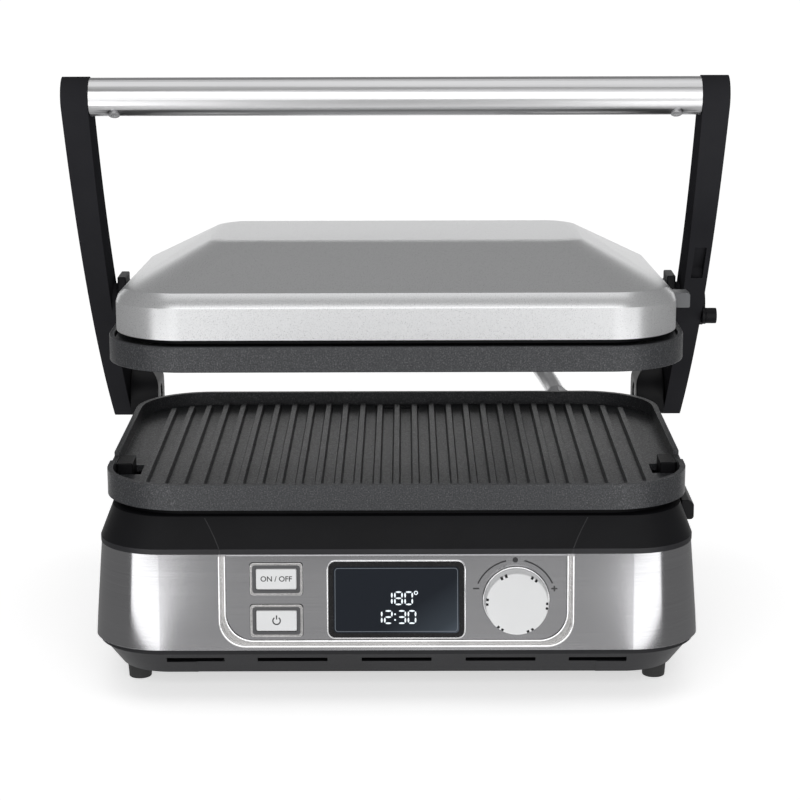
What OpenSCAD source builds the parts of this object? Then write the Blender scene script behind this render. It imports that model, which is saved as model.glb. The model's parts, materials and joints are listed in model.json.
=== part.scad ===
// Electric indoor grill with a floating lid on two curved arms.
// Front is -Y, right is +X. The origin is the centre of the base footprint, under the feet.

/* [Base] */
// How far the base reaches past the plates on each side
base_side = 5.5; // [4:0.5:10]
// How far the base reaches past the lower plate at the front
base_front = 20; // [16:1:30]
// How far the base reaches past the lower plate at the back
base_back = 51; // [48:1:60]
// Corner radius of the base in plan
base_r = 40; // [30:1:48]
// Height of the rubber feet
foot_h = 12; // [8:1:14]
// Height of the black bottom tub
tub_h = 19; // [17:0.5:26]
// Height of the stainless band
band_h = 54; // [52:1:64]
// How far the band leans in between its foot and its top
band_lean = 4.5; // [2:0.5:8]
// Thickness of the stainless band
band_t = 1.2; // [0.8:0.1:2]
// Height of the black shoulder under the lower plate
shoulder_h = 17.3; // [16:0.1:24]
// Wall of the plastic mouldings
wall = 3; // [2:0.25:4]

/* [Plates] */
// Width of each cooking plate
plate_w = 330; // [290:1:370]
// Depth of each cooking plate
plate_d = 235; // [206:1:264]
// Height of the plate rim
plate_h = 14.6; // [13:0.1:18]
// Corner radius of the plates
plate_r = 45; // [36:1:52]
// Thickness of the rim wall
rim_t = 3.2; // [2.5:0.1:4.5]
// Depth of the pan below the rim
pan_depth = 8.2; // [7:0.1:9]
// Thickness of the plate under the pan
plate_t = 4; // [3:0.1:5]
// Height of the cooking ribs
rib_h = 3; // [2:0.1:4]
// Distance between the ribs
rib_pitch = 11; // [9:0.5:16]
// Width of a rib at its foot
rib_w = 5.2; // [4:0.1:7]
// Distance from the plate front to the clip that holds it
clip_back = 66; // [55:1:75]

/* [Lid] */
// Gap between the two plates with the arms as drawn
lid_gap = 57.6; // [40:0.1:62]
// How far back the lid stands from the lower plate with the arms as drawn
lid_shift = 27; // [20:0.5:30]
// How far the lid shell stands in from the sides of its plate
lid_in = 4.5; // [3:0.5:8]
// How far the lid shell stands in from the front and the back of its plate
lid_in_d = 3.5; // [3:0.5:10]
// Height of the upright band of the lid
lid_band_h = 26; // [22:1:32]
// Rise of the faceted top over the band
lid_rise = 18.6; // [14:0.1:26]
// Run of the side facets of the lid in plan
lid_slope_w = 56.5; // [46:0.5:70]
// Run of the front and back facets of the lid in plan
lid_slope_d = 76; // [60:1:88]
// How far the crease of the lid falls from front to back
crease_fall = 11.5; // [0:0.5:13]
// Dark gap between the upper plate and the lid
lid_reveal = 3.1; // [2.5:0.1:4]
// Thickness of the lid shell
lid_t = 2.2; // [1.6:0.1:3]

/* [Arms and handle] */
// Distance from the side of a plate to the outside of the arm
arm_side = 22.6; // [22:0.1:27]
// Thickness of an arm at the handle
arm_t_top = 15.5; // [14:0.1:15.6]
// Thickness of an arm at the hinge
arm_t_low = 11.4; // [10:0.1:12]
// Distance of the hinge axis from the back of the base
hinge_in = 21; // [19:0.5:24]
// Height of the hinge axis over the underside of the lower plate
hinge_up = 6.4; // [5:0.1:9]
// Radius of the arm around the hinge
hinge_r = 14; // [12:0.5:18]
// Distance of the lid pivot forward of the hinge
pivot_reach = 91; // [84:0.5:98]
// Distance of the handle forward of the hinge
handle_reach = 190; // [180:1:200]
// Height of the handle over the hinge
handle_rise = 215; // [205:1:225]
// Diameter of the handle tube
handle_dia = 21.6; // [19:0.1:24]
// Radius of the curve under the arm
arm_bow = 700; // [500:5:900]
// Radius of the curve over the arm
arm_bow_in = 704; // [500:2:900]
// Diameter of the hinge and pivot pins
pin_dia = 8; // [6:0.5:9]

/* [Control panel] */
// Width of the raised panel
panel_w = 196; // [190:1:204]
// Width of the bright border of the panel
border_w = 4.2; // [3:0.1:6]
// Width of the display frame
disp_w = 74.4; // [68:0.1:80]
// Height of the display frame
disp_h = 42.4; // [38:0.1:44]
// Distance of the buttons and the knob from the middle
control_x = 66; // [63:0.1:70]
// Width of a button cap
cap_w = 22.6; // [18:0.1:24]
// Height of a button cap
cap_h = 11.8; // [9:0.1:13]
// Distance between the two buttons
button_pitch = 23.4; // [22:0.1:26]
// Diameter of the knob
knob_dia = 33.6; // [30:0.1:38]
// How far the knob stands out of its ring
knob_h = 13; // [9:0.5:18]
// Travel of the buttons
press = 1.5; // [1:0.1:2]

/* [Drip tray] */
// Width of the drip tray
drip_w = 190; // [150:1:200]
// Depth of the drip tray
drip_d = 84; // [60:1:90]
// Height of the drip tray
drip_h = 24; // [18:1:27]

/* [Hidden] */
$fn = 64;

skin = 0.1;         // thickness of the slices that the tapered shells are hulled from
run = 0.05;         // radial clearance of a pin in its bore
slip = 0.3;         // clearance between pieces that move past each other
bite = 0.2;         // clearance between fixed pieces that nest

// Base, lid and arms follow the plates
base_w = plate_w + 2 * base_side;
base_d = plate_d + base_front + base_back;
lid_w = plate_w - 2 * lid_in;
lid_d = plate_d - 2 * lid_in_d;
lid_top_w = lid_w - 2 * lid_slope_w;
lid_top_d = lid_d - 2 * lid_slope_d;
arm_out = plate_w / 2 + arm_side;

// Heights, from the floor up
tub_z = foot_h;
band_z = tub_z + tub_h;
shoulder_z = band_z + band_h;
lip_h = 3;
lip_over = 0.8;
shoulder_top = shoulder_z + shoulder_h;
step_h = 3;
plate_z = shoulder_top + step_h + slip;
rim_top = plate_z + plate_h;
upper_rim = rim_top + lid_gap;
upper_back = upper_rim + plate_h;
lid_z = upper_back + lid_reveal;
crease_z = lid_z + lid_band_h;
lid_top = crease_z + lid_rise;

// Plan positions
band_top_w = base_w - 2 * band_lean;
band_top_d = base_d - 2 * band_lean;
lean = atan(band_lean / band_h);
shoulder_in = 15;
side_in = 5;
plate_y = -base_d / 2 + base_front + plate_d / 2;
lid_y = plate_y + lid_shift;
clip_y = plate_y - plate_d / 2 + clip_back;

// Hinge, pivot and handle
hinge = [base_d / 2 - hinge_in, plate_z + hinge_up];
pivot_rise = (2 * pivot_reach * lid_shift + pow(lid_shift, 2) + pow(lid_gap, 2)) / (2 * lid_gap);
pivot = hinge + [-pivot_reach, pivot_rise];
handle = hinge + [-handle_reach, handle_rise];
arm_end_r = handle_dia / 2 + 0.6;
pin_r = pin_dia / 2;
tower_r = 20;
tower_w = 18.3;
tower_out = arm_out - arm_t_low - 3 * slip;
tower_in = tower_out - tower_w;

// Pan of a plate and the well under it
floor_top = plate_h - pan_depth;
floor_bot = floor_top - plate_t;
well_in = 13;
well_deep = 11;
well_w = plate_w - 2 * well_in;
well_d = plate_d - 2 * well_in;
well_r = plate_r - well_in;
well_z = plate_z - well_deep;
cavity_top = well_z - wall;
boss_up = 7;
boss_z = band_z + boss_up;
heater_r = 3.5;
heater_z = plate_z + floor_bot - slip - heater_r;
upper_heater_z = upper_back - floor_bot + slip + heater_r;
heater_side = 47;
heater_front = 16.5;
leg_half = well_w / 2 - heater_side;
leg_pitch = (well_d - 2 * heater_front) / 4;
clip_w = 9;
clip_out = plate_w / 2 - rim_t - 2 * slip;
clip_in = clip_out - clip_w;
clip_half = 10;
clip_travel = 4;
button_out = base_w / 2;

// Drip tray
drip_z = tub_z + 30;
drip_back = base_d / 2 + 0.5;
drip_t = 1.6;
chute_w = 40;
chute_d = 12;
chute_y = plate_y + plate_d / 2 - rim_t - 10;

screw_side = 35.5;
screw_back = 53;
screw_x = base_w / 2 - screw_side;
screw_front = base_d / 2 - 41;
screw_rear = base_d / 2 - screw_back;
screw_at = [for (x = [-screw_x, screw_x], y = [-screw_front, screw_rear]) [x, y]];

// ---------- helpers ----------

// Rounded rectangle round the origin
module round_rect(w, d, r) {
    square([w - 2 * r, d], center = true);
    square([w, d - 2 * r], center = true);
    for (sx = [-1, 1], sy = [-1, 1])
        translate([sx * (w / 2 - r), sy * (d / 2 - r)]) circle(r);
}

// Upright prism on a rounded rectangle
module slab(w, d, r, z, h, y = 0) {
    translate([0, y, z]) linear_extrude(h) round_rect(w, d, r);
}

// Box from its low corner to its high corner
module span(low, high) {
    translate(low) cube(high - low);
}

// The same piece on both sides
module both_sides() {
    children();
    mirror([1, 0, 0]) children();
}

// Local frame of the leaning front: x right, y up the face, z out of it
module on_front() {
    translate([0, -base_d / 2, band_z]) rotate([90 - lean, 0, 0]) children();
}

// Prism across X on an outline drawn in Y and Z
module across(x0, x1) {
    translate([x0, 0, 0]) rotate([90, 0, 90]) linear_extrude(x1 - x0) children();
}

// Turns z into the direction v
module along(v) {
    rotate([0, acos(v[2] / norm(v)), atan2(v[1], v[0])]) children();
}

// Rod along X at a point of the Y-Z plane
module rod_x(at, x0, x1, r) {
    translate([x0, at[0], at[1]]) rotate([0, 90, 0]) cylinder(r = r, h = x1 - x0);
}

// Where circles of radius a about p and b about q meet, on the left of the way from p to q
function meet(p, a, q, b) =
    let (d = norm(q - p), u = (q - p) / d, t = (d * d + a * a - b * b) / (2 * d), h = sqrt(a * a - t * t))
    p + t * u + h * [-u[1], u[0]];

// Centre-line points of a smooth lead through three control points of a Bezier pair
function bezier(a, b, c, d, t) =
    pow(1 - t, 3) * a + 3 * pow(1 - t, 2) * t * b + 3 * (1 - t) * t * t * c + pow(t, 3) * d;

// ---------- base ----------

tub_in = 19;
vent_h = 3;
vents = [[-112, 32], [-58, 39], [0, 39], [58, 39], [112, 32]];

module tub_form(off) {
    hull() {
        slab(base_w - 2 * (tub_in + off), base_d - 2 * (tub_in + off), base_r - off, tub_z + off, skin);
        slab(base_w - 3 - 2 * off, base_d - 3 - 2 * off, base_r - off, band_z - skin, skin);
    }
}

module base_tub() {
    color("#1d1d1f") difference() {
        union() {
            difference() {
                tub_form(0);
                tub_form(wall);
                slab(base_w - 3 - 2 * wall, base_d - 3 - 2 * wall, base_r - wall, band_z - 1, 2);
            }
            locating_lip();
            for (p = screw_at) translate([p[0], p[1], tub_z]) cylinder(r = 7, h = boss_z - bite - tub_z);
            power_posts();
        }
        for (v = vents) translate([v[0], -base_d / 2, tub_z + tub_h * 0.55])
            cube([v[1], 3 * tub_in, vent_h], center = true);
        for (x = [-80 : 16 : 80]) translate([x, 20, tub_z]) cube([7, 60, 3 * wall], center = true);
        for (p = screw_at) translate([p[0], p[1], tub_z - 1]) {
            cylinder(r = 2 + 2 * run, h = tub_h + 10);
            cylinder(r = 4.5, h = 8);
        }
    }
}

// Lip that stands up inside the band and keys it to the tub
module locating_lip() {
    lip_w = base_w - 2 * (band_t + bite) - 1.4;
    lip_d = base_d - 2 * (band_t + bite) - 1.4;
    difference() {
        slab(lip_w, lip_d, base_r - band_t, band_z - 3, 6);
        slab(lip_w - 2 * wall, lip_d - 2 * wall, base_r - band_t - wall, band_z - 4, 8);
        span([-rear_half, 0, band_z - 0.1], [rear_half, base_d, band_z + 9]);
    }
}

board_post_h = 8;
power_at = [-40, -35];
power_w = 132;
power_d = 64;
post_x = power_w / 2 - 6;
post_y = power_d / 2 - 7;
module power_posts() {
    for (x = [-post_x, post_x], y = [-post_y, post_y])
        translate([power_at[0] + x, power_at[1] + y, tub_z + wall - 1]) cylinder(r = 3.5, h = board_post_h + 1);
}

foot_x = base_w / 2 - 23;
foot_y = base_d / 2 - 47;
module feet() {
    color("#151515") for (sx = [-1, 1], sy = [-1, 1])
        translate([sx * foot_x, sy * foot_y, 0]) cylinder(r1 = 6.4, r2 = 7.4, h = foot_h);
}

module band_form(off, over) {
    hull() {
        slab(base_w - 2 * off, base_d - 2 * off, base_r - off, band_z - over, skin);
        slab(band_top_w - 2 * off, band_top_d - 2 * off, base_r - band_lean - off, shoulder_z - skin + over, skin);
    }
}

inlet_r = 7;
inlet_flange = 2.5;
inlet_x = drip_w / 2 + inlet_r + inlet_flange + 7.5;
inlet_z = band_z + 20;
rear_half = inlet_x + 16;
module stainless_band() {
    color("#c9c9cb") difference() {
        band_form(0, 0);
        band_form(band_t, 0.5);
        span([-rear_half, 0, band_z - 1], [rear_half, base_d, shoulder_z + 1]);
        on_front() translate([0, 0, -10]) linear_extrude(20) panel_window();
    }
}

// Window in the band behind the control panel
panel_foot = 2;
panel_top = band_h / cos(lean) - 0.5;
panel_corner = 15;
module panel_window() {
    inset = border_w + 1.2;
    low = panel_foot + inset;
    high = panel_top - 1.5;
    translate([0, (low + high) / 2]) round_rect(panel_w - 2 * inset, high - low, 4);
}

module rear_panel() {
    yo = base_d / 2 - band_lean / 2;
    color("#1d1d1f") difference() {
        span([-rear_half + bite, yo - 2 * wall, band_z + 0.1], [rear_half - bite, yo - 1, shoulder_z - bite]);
        span([-drip_w / 2 - slip, 0, drip_z - 1], [drip_w / 2 + slip, base_d, drip_z + drip_h + 1]);
        translate([inlet_x, yo, inlet_z]) rotate([90, 0, 0]) cylinder(r = inlet_r + bite, h = 40, center = true);
        for (k = [0, 1]) translate([-inlet_x + 7 * k, 0, 0])
            span([-1.5, 0, band_z + 14], [1.5, base_d, shoulder_z - 14]);
    }
}

// Rails that the drip tray slides on, each with a guide beside the tray, fixed to the rear panel
rail_t = 2.5;
module drip_runners() {
    front = drip_back - drip_d;
    back = base_d / 2 - band_lean / 2 - 2 * wall;
    low = drip_z - slip - rail_t;
    color("#1d1d1f") both_sides() {
        span([drip_w / 2 - 9, front, low], [drip_w / 2 + slip + rail_t, back, drip_z - slip]);
        span([drip_w / 2 + slip, front, low], [drip_w / 2 + slip + rail_t, back, drip_z + 12]);
    }
}

// Shoulder: lip over the band, sloped front, step that carries the lower plate and the well for the heater
module shoulder_form() {
    top_d = band_top_d - shoulder_in - 1;
    hull() {
        slab(band_top_w + lip_over, band_top_d + lip_over, base_r - band_lean + lip_over / 2, shoulder_z + lip_h - skin, skin);
        slab(band_top_w - 2 * side_in, top_d, base_r - band_lean - 2, shoulder_top - skin, skin,
            (band_top_d - top_d) / 2 - 0.5);
    }
}

module shoulder() {
    color("#202124") difference() {
        union() {
            slab(band_top_w + lip_over, band_top_d + lip_over, base_r - band_lean + lip_over / 2, shoulder_z, lip_h);
            shoulder_form();
            slab(plate_w - 12, plate_d - 12, plate_r - 6, shoulder_top - 1, step_h + 1, plate_y);
        }
        slab(well_w, well_d, well_r, well_z, 40, plate_y);
        slab(band_top_w - 10, band_top_d - 10, base_r - 9, shoulder_z - 1, cavity_top - shoulder_z + 1);
        translate([0, chute_y, well_z]) cube([chute_w, chute_d, 40], center = true);
        translate([0, plate_y, well_z]) cylinder(r = probe_r + bite, h = 40, center = true);
        translate([0, plate_y, 0]) heater_holes(well_z);
        both_sides() clip_pocket();
        release_pocket();
        both_sides() tower_socket();
    }
    color("#202124") for (p = screw_at) shoulder_boss(p);
}

// Boss that hangs from the shoulder to take a screw from below
module shoulder_boss(p) {
    translate([p[0], p[1], boss_z]) difference() {
        cylinder(r = 5, h = cavity_top - boss_z + 0.2);
        translate([0, 0, -1]) cylinder(r = 2 + run, h = 26);
    }
}

// Room in the shoulder for a clip and its slide, down from the plate and out to the side
clip_drop = 7.4;
slide_t = 6;
module clip_pocket() {
    foot = plate_z - clip_drop - slide_t - slip;
    translate([0, clip_y, 0]) {
        span([clip_in - clip_travel - slip, -clip_half - slip, foot], [clip_out + slip, clip_half + slip, plate_z + 1]);
        span([clip_in - clip_travel - slip, -clip_half - slip, foot],
            [base_w / 2, clip_half + slip, plate_z - clip_drop + slip]);
    }
}

// Room in the right side of the shoulder for the release button and its travel
module release_pocket() {
    span([catch_reach - clip_travel - slip, clip_y - button_half - slip, lower_release_z - slip],
        [base_w / 2 + 10, clip_y + button_half + slip, lower_release_z + release_h + slip]);
}

module tower_socket() {
    span([tower_in + 3, hinge[0] - 10, shoulder_top - 4], [tower_in + 9, hinge[0] + 10, shoulder_top + 1]);
}

// Hinge tower on a rear corner of the shoulder
module hinge_tower() {
    difference() {
        union() {
            intersection() {
                across(tower_in, tower_out) union() {
                    translate(hinge) circle(tower_r);
                    translate([hinge[0] - tower_r, shoulder_top]) square([2 * tower_r, hinge[1] - shoulder_top]);
                }
                translate([0, hinge[0] + 40, 0]) rotate([90, 0, 0]) linear_extrude(80) tower_front();
            }
            span([tower_in + 3 + bite, hinge[0] - 10 + bite, shoulder_top - 3.8],
                [tower_in + 9 - bite, hinge[0] + 10 - bite, shoulder_top + 1]);
        }
        rod_x(hinge, tower_in - 1, tower_out + 1, pin_r + run);
        rod_x(hinge, tower_in - 1, tower_in + 4, pin_r + 3);
    }
}

// Tower seen from the front, with a round inner corner
module tower_front() {
    top = hinge[1] + tower_r;
    r = 12;
    translate([tower_in + r, shoulder_top]) square([tower_out - tower_in - r, top - shoulder_top]);
    translate([tower_in, shoulder_top]) square([r, top - r - shoulder_top]);
    translate([tower_in + r, top - r]) circle(r);
}

module hinge_tower_left() { color("#1b1b1d") mirror([1, 0, 0]) hinge_tower(); }
module hinge_tower_right() { color("#1b1b1d") hinge_tower(); }

module hinge_pins() {
    color("#b9bbbe") both_sides() {
        rod_x(hinge, tower_in + 1, arm_out - 4, pin_r);
        rod_x(hinge, tower_in + 1, tower_in + 3.9, pin_r + 2.5);
    }
}

screw_len = 32;
module base_screws() {
    color("#9a9ca0") for (p = screw_at) translate([p[0], p[1], tub_z + 4]) {
        cylinder(r = 2, h = screw_len);
        difference() {
            cylinder(r = 3.8, h = 2.9);
            translate([0, 0, -0.5]) cylinder(r = 1.4, h = 2, $fn = 6);
        }
    }
}

module cord_inlet() {
    yo = base_d / 2 - band_lean / 2;
    color("#151515") translate([inlet_x, yo, inlet_z]) rotate([90, 0, 0]) difference() {
        union() {
            translate([0, 0, -4]) cylinder(r = inlet_r, h = 18);
            translate([0, 0, -3]) cylinder(r = inlet_r + inlet_flange, h = 3.9);
        }
        translate([0, 0, -6]) cylinder(r = inlet_r - 3.2, h = 30);
    }
}

// ---------- control panel ----------

module panel_outline(inset) {
    w = panel_w - 2 * inset;
    h = panel_top - panel_foot - inset;
    translate([-w / 2, panel_foot + inset + panel_corner]) square([w, h - panel_corner]);
    translate([-w / 2 + panel_corner, panel_foot + inset]) square([w - 2 * panel_corner, h]);
    for (sx = [-1, 1]) translate([sx * (w / 2 - panel_corner), panel_foot + inset + panel_corner])
        circle(panel_corner);
}

disp_v = band_h / 2 + 2;
button_v = [disp_v - button_pitch / 2, disp_v + button_pitch / 2];
face_t = 1.2;

module panel_face() {
    color("#cfcfd1") on_front() difference() {
        translate([0, 0, 0.05]) linear_extrude(face_t) panel_outline(border_w + bite);
        translate([0, disp_v, -5]) linear_extrude(20) round_rect(disp_w + 2 * bite, disp_h + 2 * bite, 3.5 + bite);
        for (v = button_v) translate([-control_x, v, -5]) linear_extrude(20)
            round_rect(cap_w + 6.4 + 2 * bite, cap_h + 6.4 + 2 * bite, 1.8);
        translate([control_x, disp_v, -5]) cylinder(r = knob_dia / 2 + 1.6 + bite, h = 20);
    }
}

module panel_border() {
    color("#e4e4e6") on_front() translate([0, 0, 0.05]) difference() {
        linear_extrude(face_t + 0.8) difference() {
            panel_outline(0);
            panel_outline(border_w);
        }
        translate([0, 0, face_t + 0.3]) linear_extrude(2) difference() {
            panel_outline(border_w * 0.4);
            panel_outline(border_w * 0.6);
        }
    }
}

module display_frame() {
    color("#151517") on_front() translate([0, disp_v, 0]) difference() {
        translate([0, 0, -6]) linear_extrude(6 + face_t + 1.2) round_rect(disp_w, disp_h, 3.5);
        translate([0, 0, -1]) linear_extrude(6) round_rect(lens_w + 2 * bite, lens_h + 2 * bite, 1.5);
        translate([0, 0, -7]) linear_extrude(20) round_rect(lens_w - 4, lens_h - 4, 1);
    }
    color("#151517") on_front() for (sx = [-1, 1], sy = [-1, 1])
        translate([sx * (disp_w / 2 - 2.4), disp_v + sy * (disp_h / 2 - 2.4), -board_in])
            cylinder(r = 2.2, h = board_in - 5.9);
}

lens_w = disp_w - 7.4;
lens_h = disp_h - 7;
module display_lens() {
    color("#2a3340") on_front() translate([0, disp_v, -0.9]) linear_extrude(face_t + 1.5)
        round_rect(lens_w, lens_h, 1.5);
}

module display_module() {
    color("#3c4b5c") on_front() translate([0, disp_v, -5.8]) linear_extrude(4.7) round_rect(lens_w - 5, lens_h - 5, 1);
}

frame_in = 5;
module button_frames() {
    color("#d8d8da") on_front() for (v = button_v) translate([-control_x, v, -frame_in]) difference() {
        linear_extrude(frame_in + face_t + 1) round_rect(cap_w + 6.4, cap_h + 6.4, 1.8);
        translate([0, 0, 2]) linear_extrude(20) round_rect(cap_w + 2.6, cap_h + 2.6, 1.2);
        translate([0, 0, -1]) linear_extrude(20) round_rect(cap_w + 2 * slip, cap_h + 2 * slip, 1 + slip);
    }
}

// Button cap with a stem that reaches its switch
module button(v) {
    on_front() translate([-control_x, v, 0]) {
        translate([0, 0, 0.5 - frame_in]) linear_extrude(frame_in + face_t + 0.4) round_rect(cap_w, cap_h, 1);
        translate([0, 0, -board_in + 4 + slip]) cylinder(r = 2.4, h = board_in - 4 - slip - 4.4);
    }
}

module upper_heat_button() { color("#f1f1f2") button(button_v[1]); }
module power_button() { color("#f1f1f2") button(button_v[0]); }

board_in = 16;
board_t = 1.6;
module control_board() {
    color("#1f5a3a") on_front() difference() {
        translate([0, disp_v, -board_in - board_t]) linear_extrude(board_t) round_rect(panel_w - 26, band_h - 12, 2);
        for (sx = [-1, 1]) translate([sx * (panel_w / 2 - 18), disp_v, -board_in - 3]) cylinder(r = 1.7, h = 6);
    }
}

module tact_switches() {
    color("#3a3a3c") on_front() for (v = button_v) translate([-control_x, v, -board_in]) {
        translate([-3, -3, 0]) cube([6, 6, 2.2]);
        cylinder(r = 1.7, h = 4 - press - 0.1);
    }
}

module encoder() {
    color("#8d9094") on_front() translate([control_x, disp_v, -board_in]) difference() {
        union() {
            translate([-6, -6, 0]) cube([12, 12, 6.5]);
            cylinder(r = 3.5, h = 11);
        }
        translate([0, 0, 2]) cylinder(r = shaft_r + run, h = 20);
    }
}

shaft_r = 2.4;
module knob_ring() {
    color("#d4d5d8") on_front() translate([control_x, disp_v, -3]) difference() {
        cylinder(r = knob_dia / 2 + 1.6, h = 3 + face_t + 1.2);
        translate([0, 0, 2]) cylinder(r = knob_dia / 2 + slip, h = 10);
        translate([0, 0, -1]) cylinder(r = 4.5, h = 10);
    }
}

// Knob with a dished front, grip notches round the rim and a shaft into the encoder
module control_knob() {
    base_v = face_t + 0.3;
    top_v = face_t + knob_h;
    color("#ececee") on_front() translate([control_x, disp_v, 0]) difference() {
        union() {
            translate([0, 0, base_v - 1]) rotate_extrude($fn = 96) polygon([
                [0, 0], [knob_dia / 2, 0], [knob_dia / 2, knob_h - 1.6], [knob_dia / 2 - 1.6, knob_h],
                [knob_dia / 2 - 2.6, knob_h], [knob_dia / 2 - 3.6, knob_h - 0.9], [0, knob_h - 0.9]
            ]);
            translate([0, 0, -board_in + 2.5]) cylinder(r = shaft_r, h = board_in);
        }
        for (a = [0 : 30 : 359], d = [-3, 3]) rotate(a + d)
            translate([knob_dia / 2 + 0.1, 0, knob_h * 0.35]) cylinder(r = 0.7, h = knob_h, $fn = 16);
    }
}

// Power board with a relay, two capacitors and a choke
module power_board() {
    relay = [28, 34, 20];
    capacitor = [18, 15, 15];
    choke_r = 8;
    color("#2c6b45") translate([power_at[0], power_at[1], tub_z + wall + board_post_h]) difference() {
        union() {
            translate([-power_w / 2, -power_d / 2, 0]) cube([power_w, power_d, board_t]);
            translate([-50, -20, board_t]) cube(relay);
            for (x = [-12, 14]) translate([x, -18, board_t]) cube(capacitor);
            translate([46, 6, board_t]) cylinder(r = choke_r, h = 22);
        }
        for (x = [-post_x, post_x], y = [-post_y, post_y]) translate([x, y, -1]) cylinder(r = 1.6, h = 5);
    }
}

// ---------- heater parts, shared by base and lid ----------

probe_r = 9;

// Dished reflector with holes for the probe and the heater ends
module reflector(z, way) {
    t = 1;
    translate([0, 0, z]) scale([1, 1, way]) difference() {
        slab(well_w - 2, well_d - 2, well_r - 1, 0, 4);
        slab(well_w - 2 - 2 * t, well_d - 2 - 2 * t, well_r - 1 - t, t, 10);
        translate([0, 0, -1]) cylinder(r = probe_r + bite, h = 10);
        heater_holes(0);
        for (p = lid_screw_at) translate([p[0], p[1], -1]) cylinder(r = 3.6, h = 4);
        for (sx = [-1, 1]) translate([sx * (well_w / 2), -plate_y + clip_y, 0]) cube([20, 2 * clip_half + 4, 20], center = true);
        translate([0, -plate_y + chute_y, 0]) cube([chute_w, chute_d, 10], center = true);
    }
}

// Where the two ends of a heater go through the floor of its well
heater_turn = 10;
heater_end = [-(leg_half - leg_pitch / 2) - heater_turn, 1.5 * leg_pitch];
module heater_holes(z) {
    for (sy = [-1, 1]) translate([heater_end[0], sy * heater_end[1], z]) cylinder(r = heater_r + 0.5, h = 30, center = true);
}

// Tube that runs to and fro under a plate, with its two ends turned away from the plate
module heater(z, way) {
    bend = leg_pitch / 2;
    straight = leg_half - bend;
    translate([0, 0, z]) {
        for (row = [-1.5 : 1 : 1.5]) translate([-straight, row * leg_pitch, 0]) rotate([0, 90, 0])
            cylinder(r = heater_r, h = 2 * straight);
        for (k = [[1, -1], [-1, 0], [1, 1]]) translate([k[0] * straight, k[1] * leg_pitch, 0])
            rotate([0, 0, k[0] > 0 ? -90 : 90]) rotate_extrude(angle = 180) translate([bend, 0]) circle(heater_r);
        for (sy = [-1, 1]) translate([-straight, sy * heater_end[1], 0]) mirror([0, 0, way > 0 ? 0 : 1]) {
            translate([0, 0, -heater_turn]) rotate([90, 0, 0]) rotate([0, 0, 90])
                rotate_extrude(angle = 90) translate([heater_turn, 0]) circle(heater_r);
            translate([-heater_turn, 0, -heater_turn - 14]) cylinder(r = heater_r, h = 14);
        }
    }
}

module lower_reflector() { color("#d9d9db") translate([0, plate_y, 0]) reflector(well_z, 1); }
module upper_reflector() { color("#d9d9db") translate([0, lid_y, 0]) reflector(upper_well_z, -1); }
module lower_heater() { color("#5c5550") translate([0, plate_y, 0]) heater(heater_z, 1); }
module upper_heater() { color("#5c5550") translate([0, lid_y, 0]) heater(upper_heater_z, -1); }

module probe(z_tip, way) {
    mirror([0, 0, way < 0 ? 1 : 0]) {
        translate([0, 0, -5]) cylinder(r = 6, h = 5);
        translate([0, 0, -22]) cylinder(r = probe_r - 1, h = 17.5);
    }
}
module lower_probe() { color("#b8b9bc") translate([0, plate_y, plate_z + floor_bot - slip]) probe(0, 1); }
module upper_probe() { color("#b8b9bc") translate([0, lid_y, upper_back - floor_bot + slip]) probe(0, -1); }

// ---------- plates ----------

// Cooking plate with its skirt down, pan up: rim, ribs, drain and two clip notches
module grill_plate(drain) {
    inner_w = plate_w - 2 * rim_t;
    inner_d = plate_d - 2 * rim_t;
    inner_r = plate_r - rim_t;
    rib_count = floor((inner_w - 30) / rib_pitch / 2);
    difference() {
        union() {
            difference() {
                slab(plate_w, plate_d, plate_r, 0, plate_h);
                slab(inner_w, inner_d, inner_r, floor_top, plate_h);
                slab(inner_w, inner_d, inner_r, -1, floor_bot + 1);
            }
            for (i = [-rib_count : rib_count]) rib(i * rib_pitch, rib_length(i * rib_pitch, inner_w, inner_d, inner_r));
        }
        if (drain) translate([0, inner_d / 2 - 9, floor_bot]) cube([chute_w - 12, 7, 30], center = true);
        both_sides() {
            span([clip_in - clip_travel - 2 * slip, -plate_d / 2 + clip_back - clip_half - 2 * slip, -1],
                [clip_out + 2 * slip, -plate_d / 2 + clip_back + clip_half + 2 * slip, plate_h + 1]);
            translate([plate_w / 2, -plate_d / 2 + clip_back, plate_h]) cube([4 * rim_t, 2 * clip_half, 5], center = true);
        }
    }
}

// Length of a rib that stays a finger's width inside the rounded rim
function rib_length(x, w, d, r) =
    let (edge = abs(x) - (w / 2 - r), rib_gap = 9)
    2 * ((edge > 0 ? d / 2 - r + sqrt(max(r * r - edge * edge, 0)) : d / 2) - rib_gap - (edge > 0 ? 6 : 0));

// Rib with sloped flanks and sloped ends
module rib(x, length) {
    top_w = rib_w * 0.6;
    if (length > 20) translate([x, 0, floor_top - 0.2]) rotate([90, 0, 0])
        translate([0, 0, -length / 2]) linear_extrude(length)
            polygon([[-rib_w / 2, 0], [rib_w / 2, 0], [top_w / 2, rib_h + 0.2], [-top_w / 2, rib_h + 0.2]]);
}

module lower_plate() { color("#3b3c40") translate([0, plate_y, plate_z]) grill_plate(true); }
module upper_plate() { color("#3b3c40") translate([0, lid_y, upper_back]) mirror([0, 0, 1]) grill_plate(false); }

// ---------- clips that hold the plates ----------

// Clip: head in the plate's notch, stem and slide, way 1 for the base and -1 for the lid
module clip(z, y, stem_out, reach, way) {
    translate([0, y, z]) mirror([0, 0, way > 0 ? 0 : 1]) {
        span([clip_in, -clip_half, -2], [clip_out, clip_half, plate_h - 2]);
        span([clip_in, -clip_half, -clip_drop - slide_t], [stem_out, clip_half, -1]);
        span([clip_in, -clip_half, -clip_drop - slide_t], [reach, clip_half, -clip_drop]);
    }
}

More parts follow.
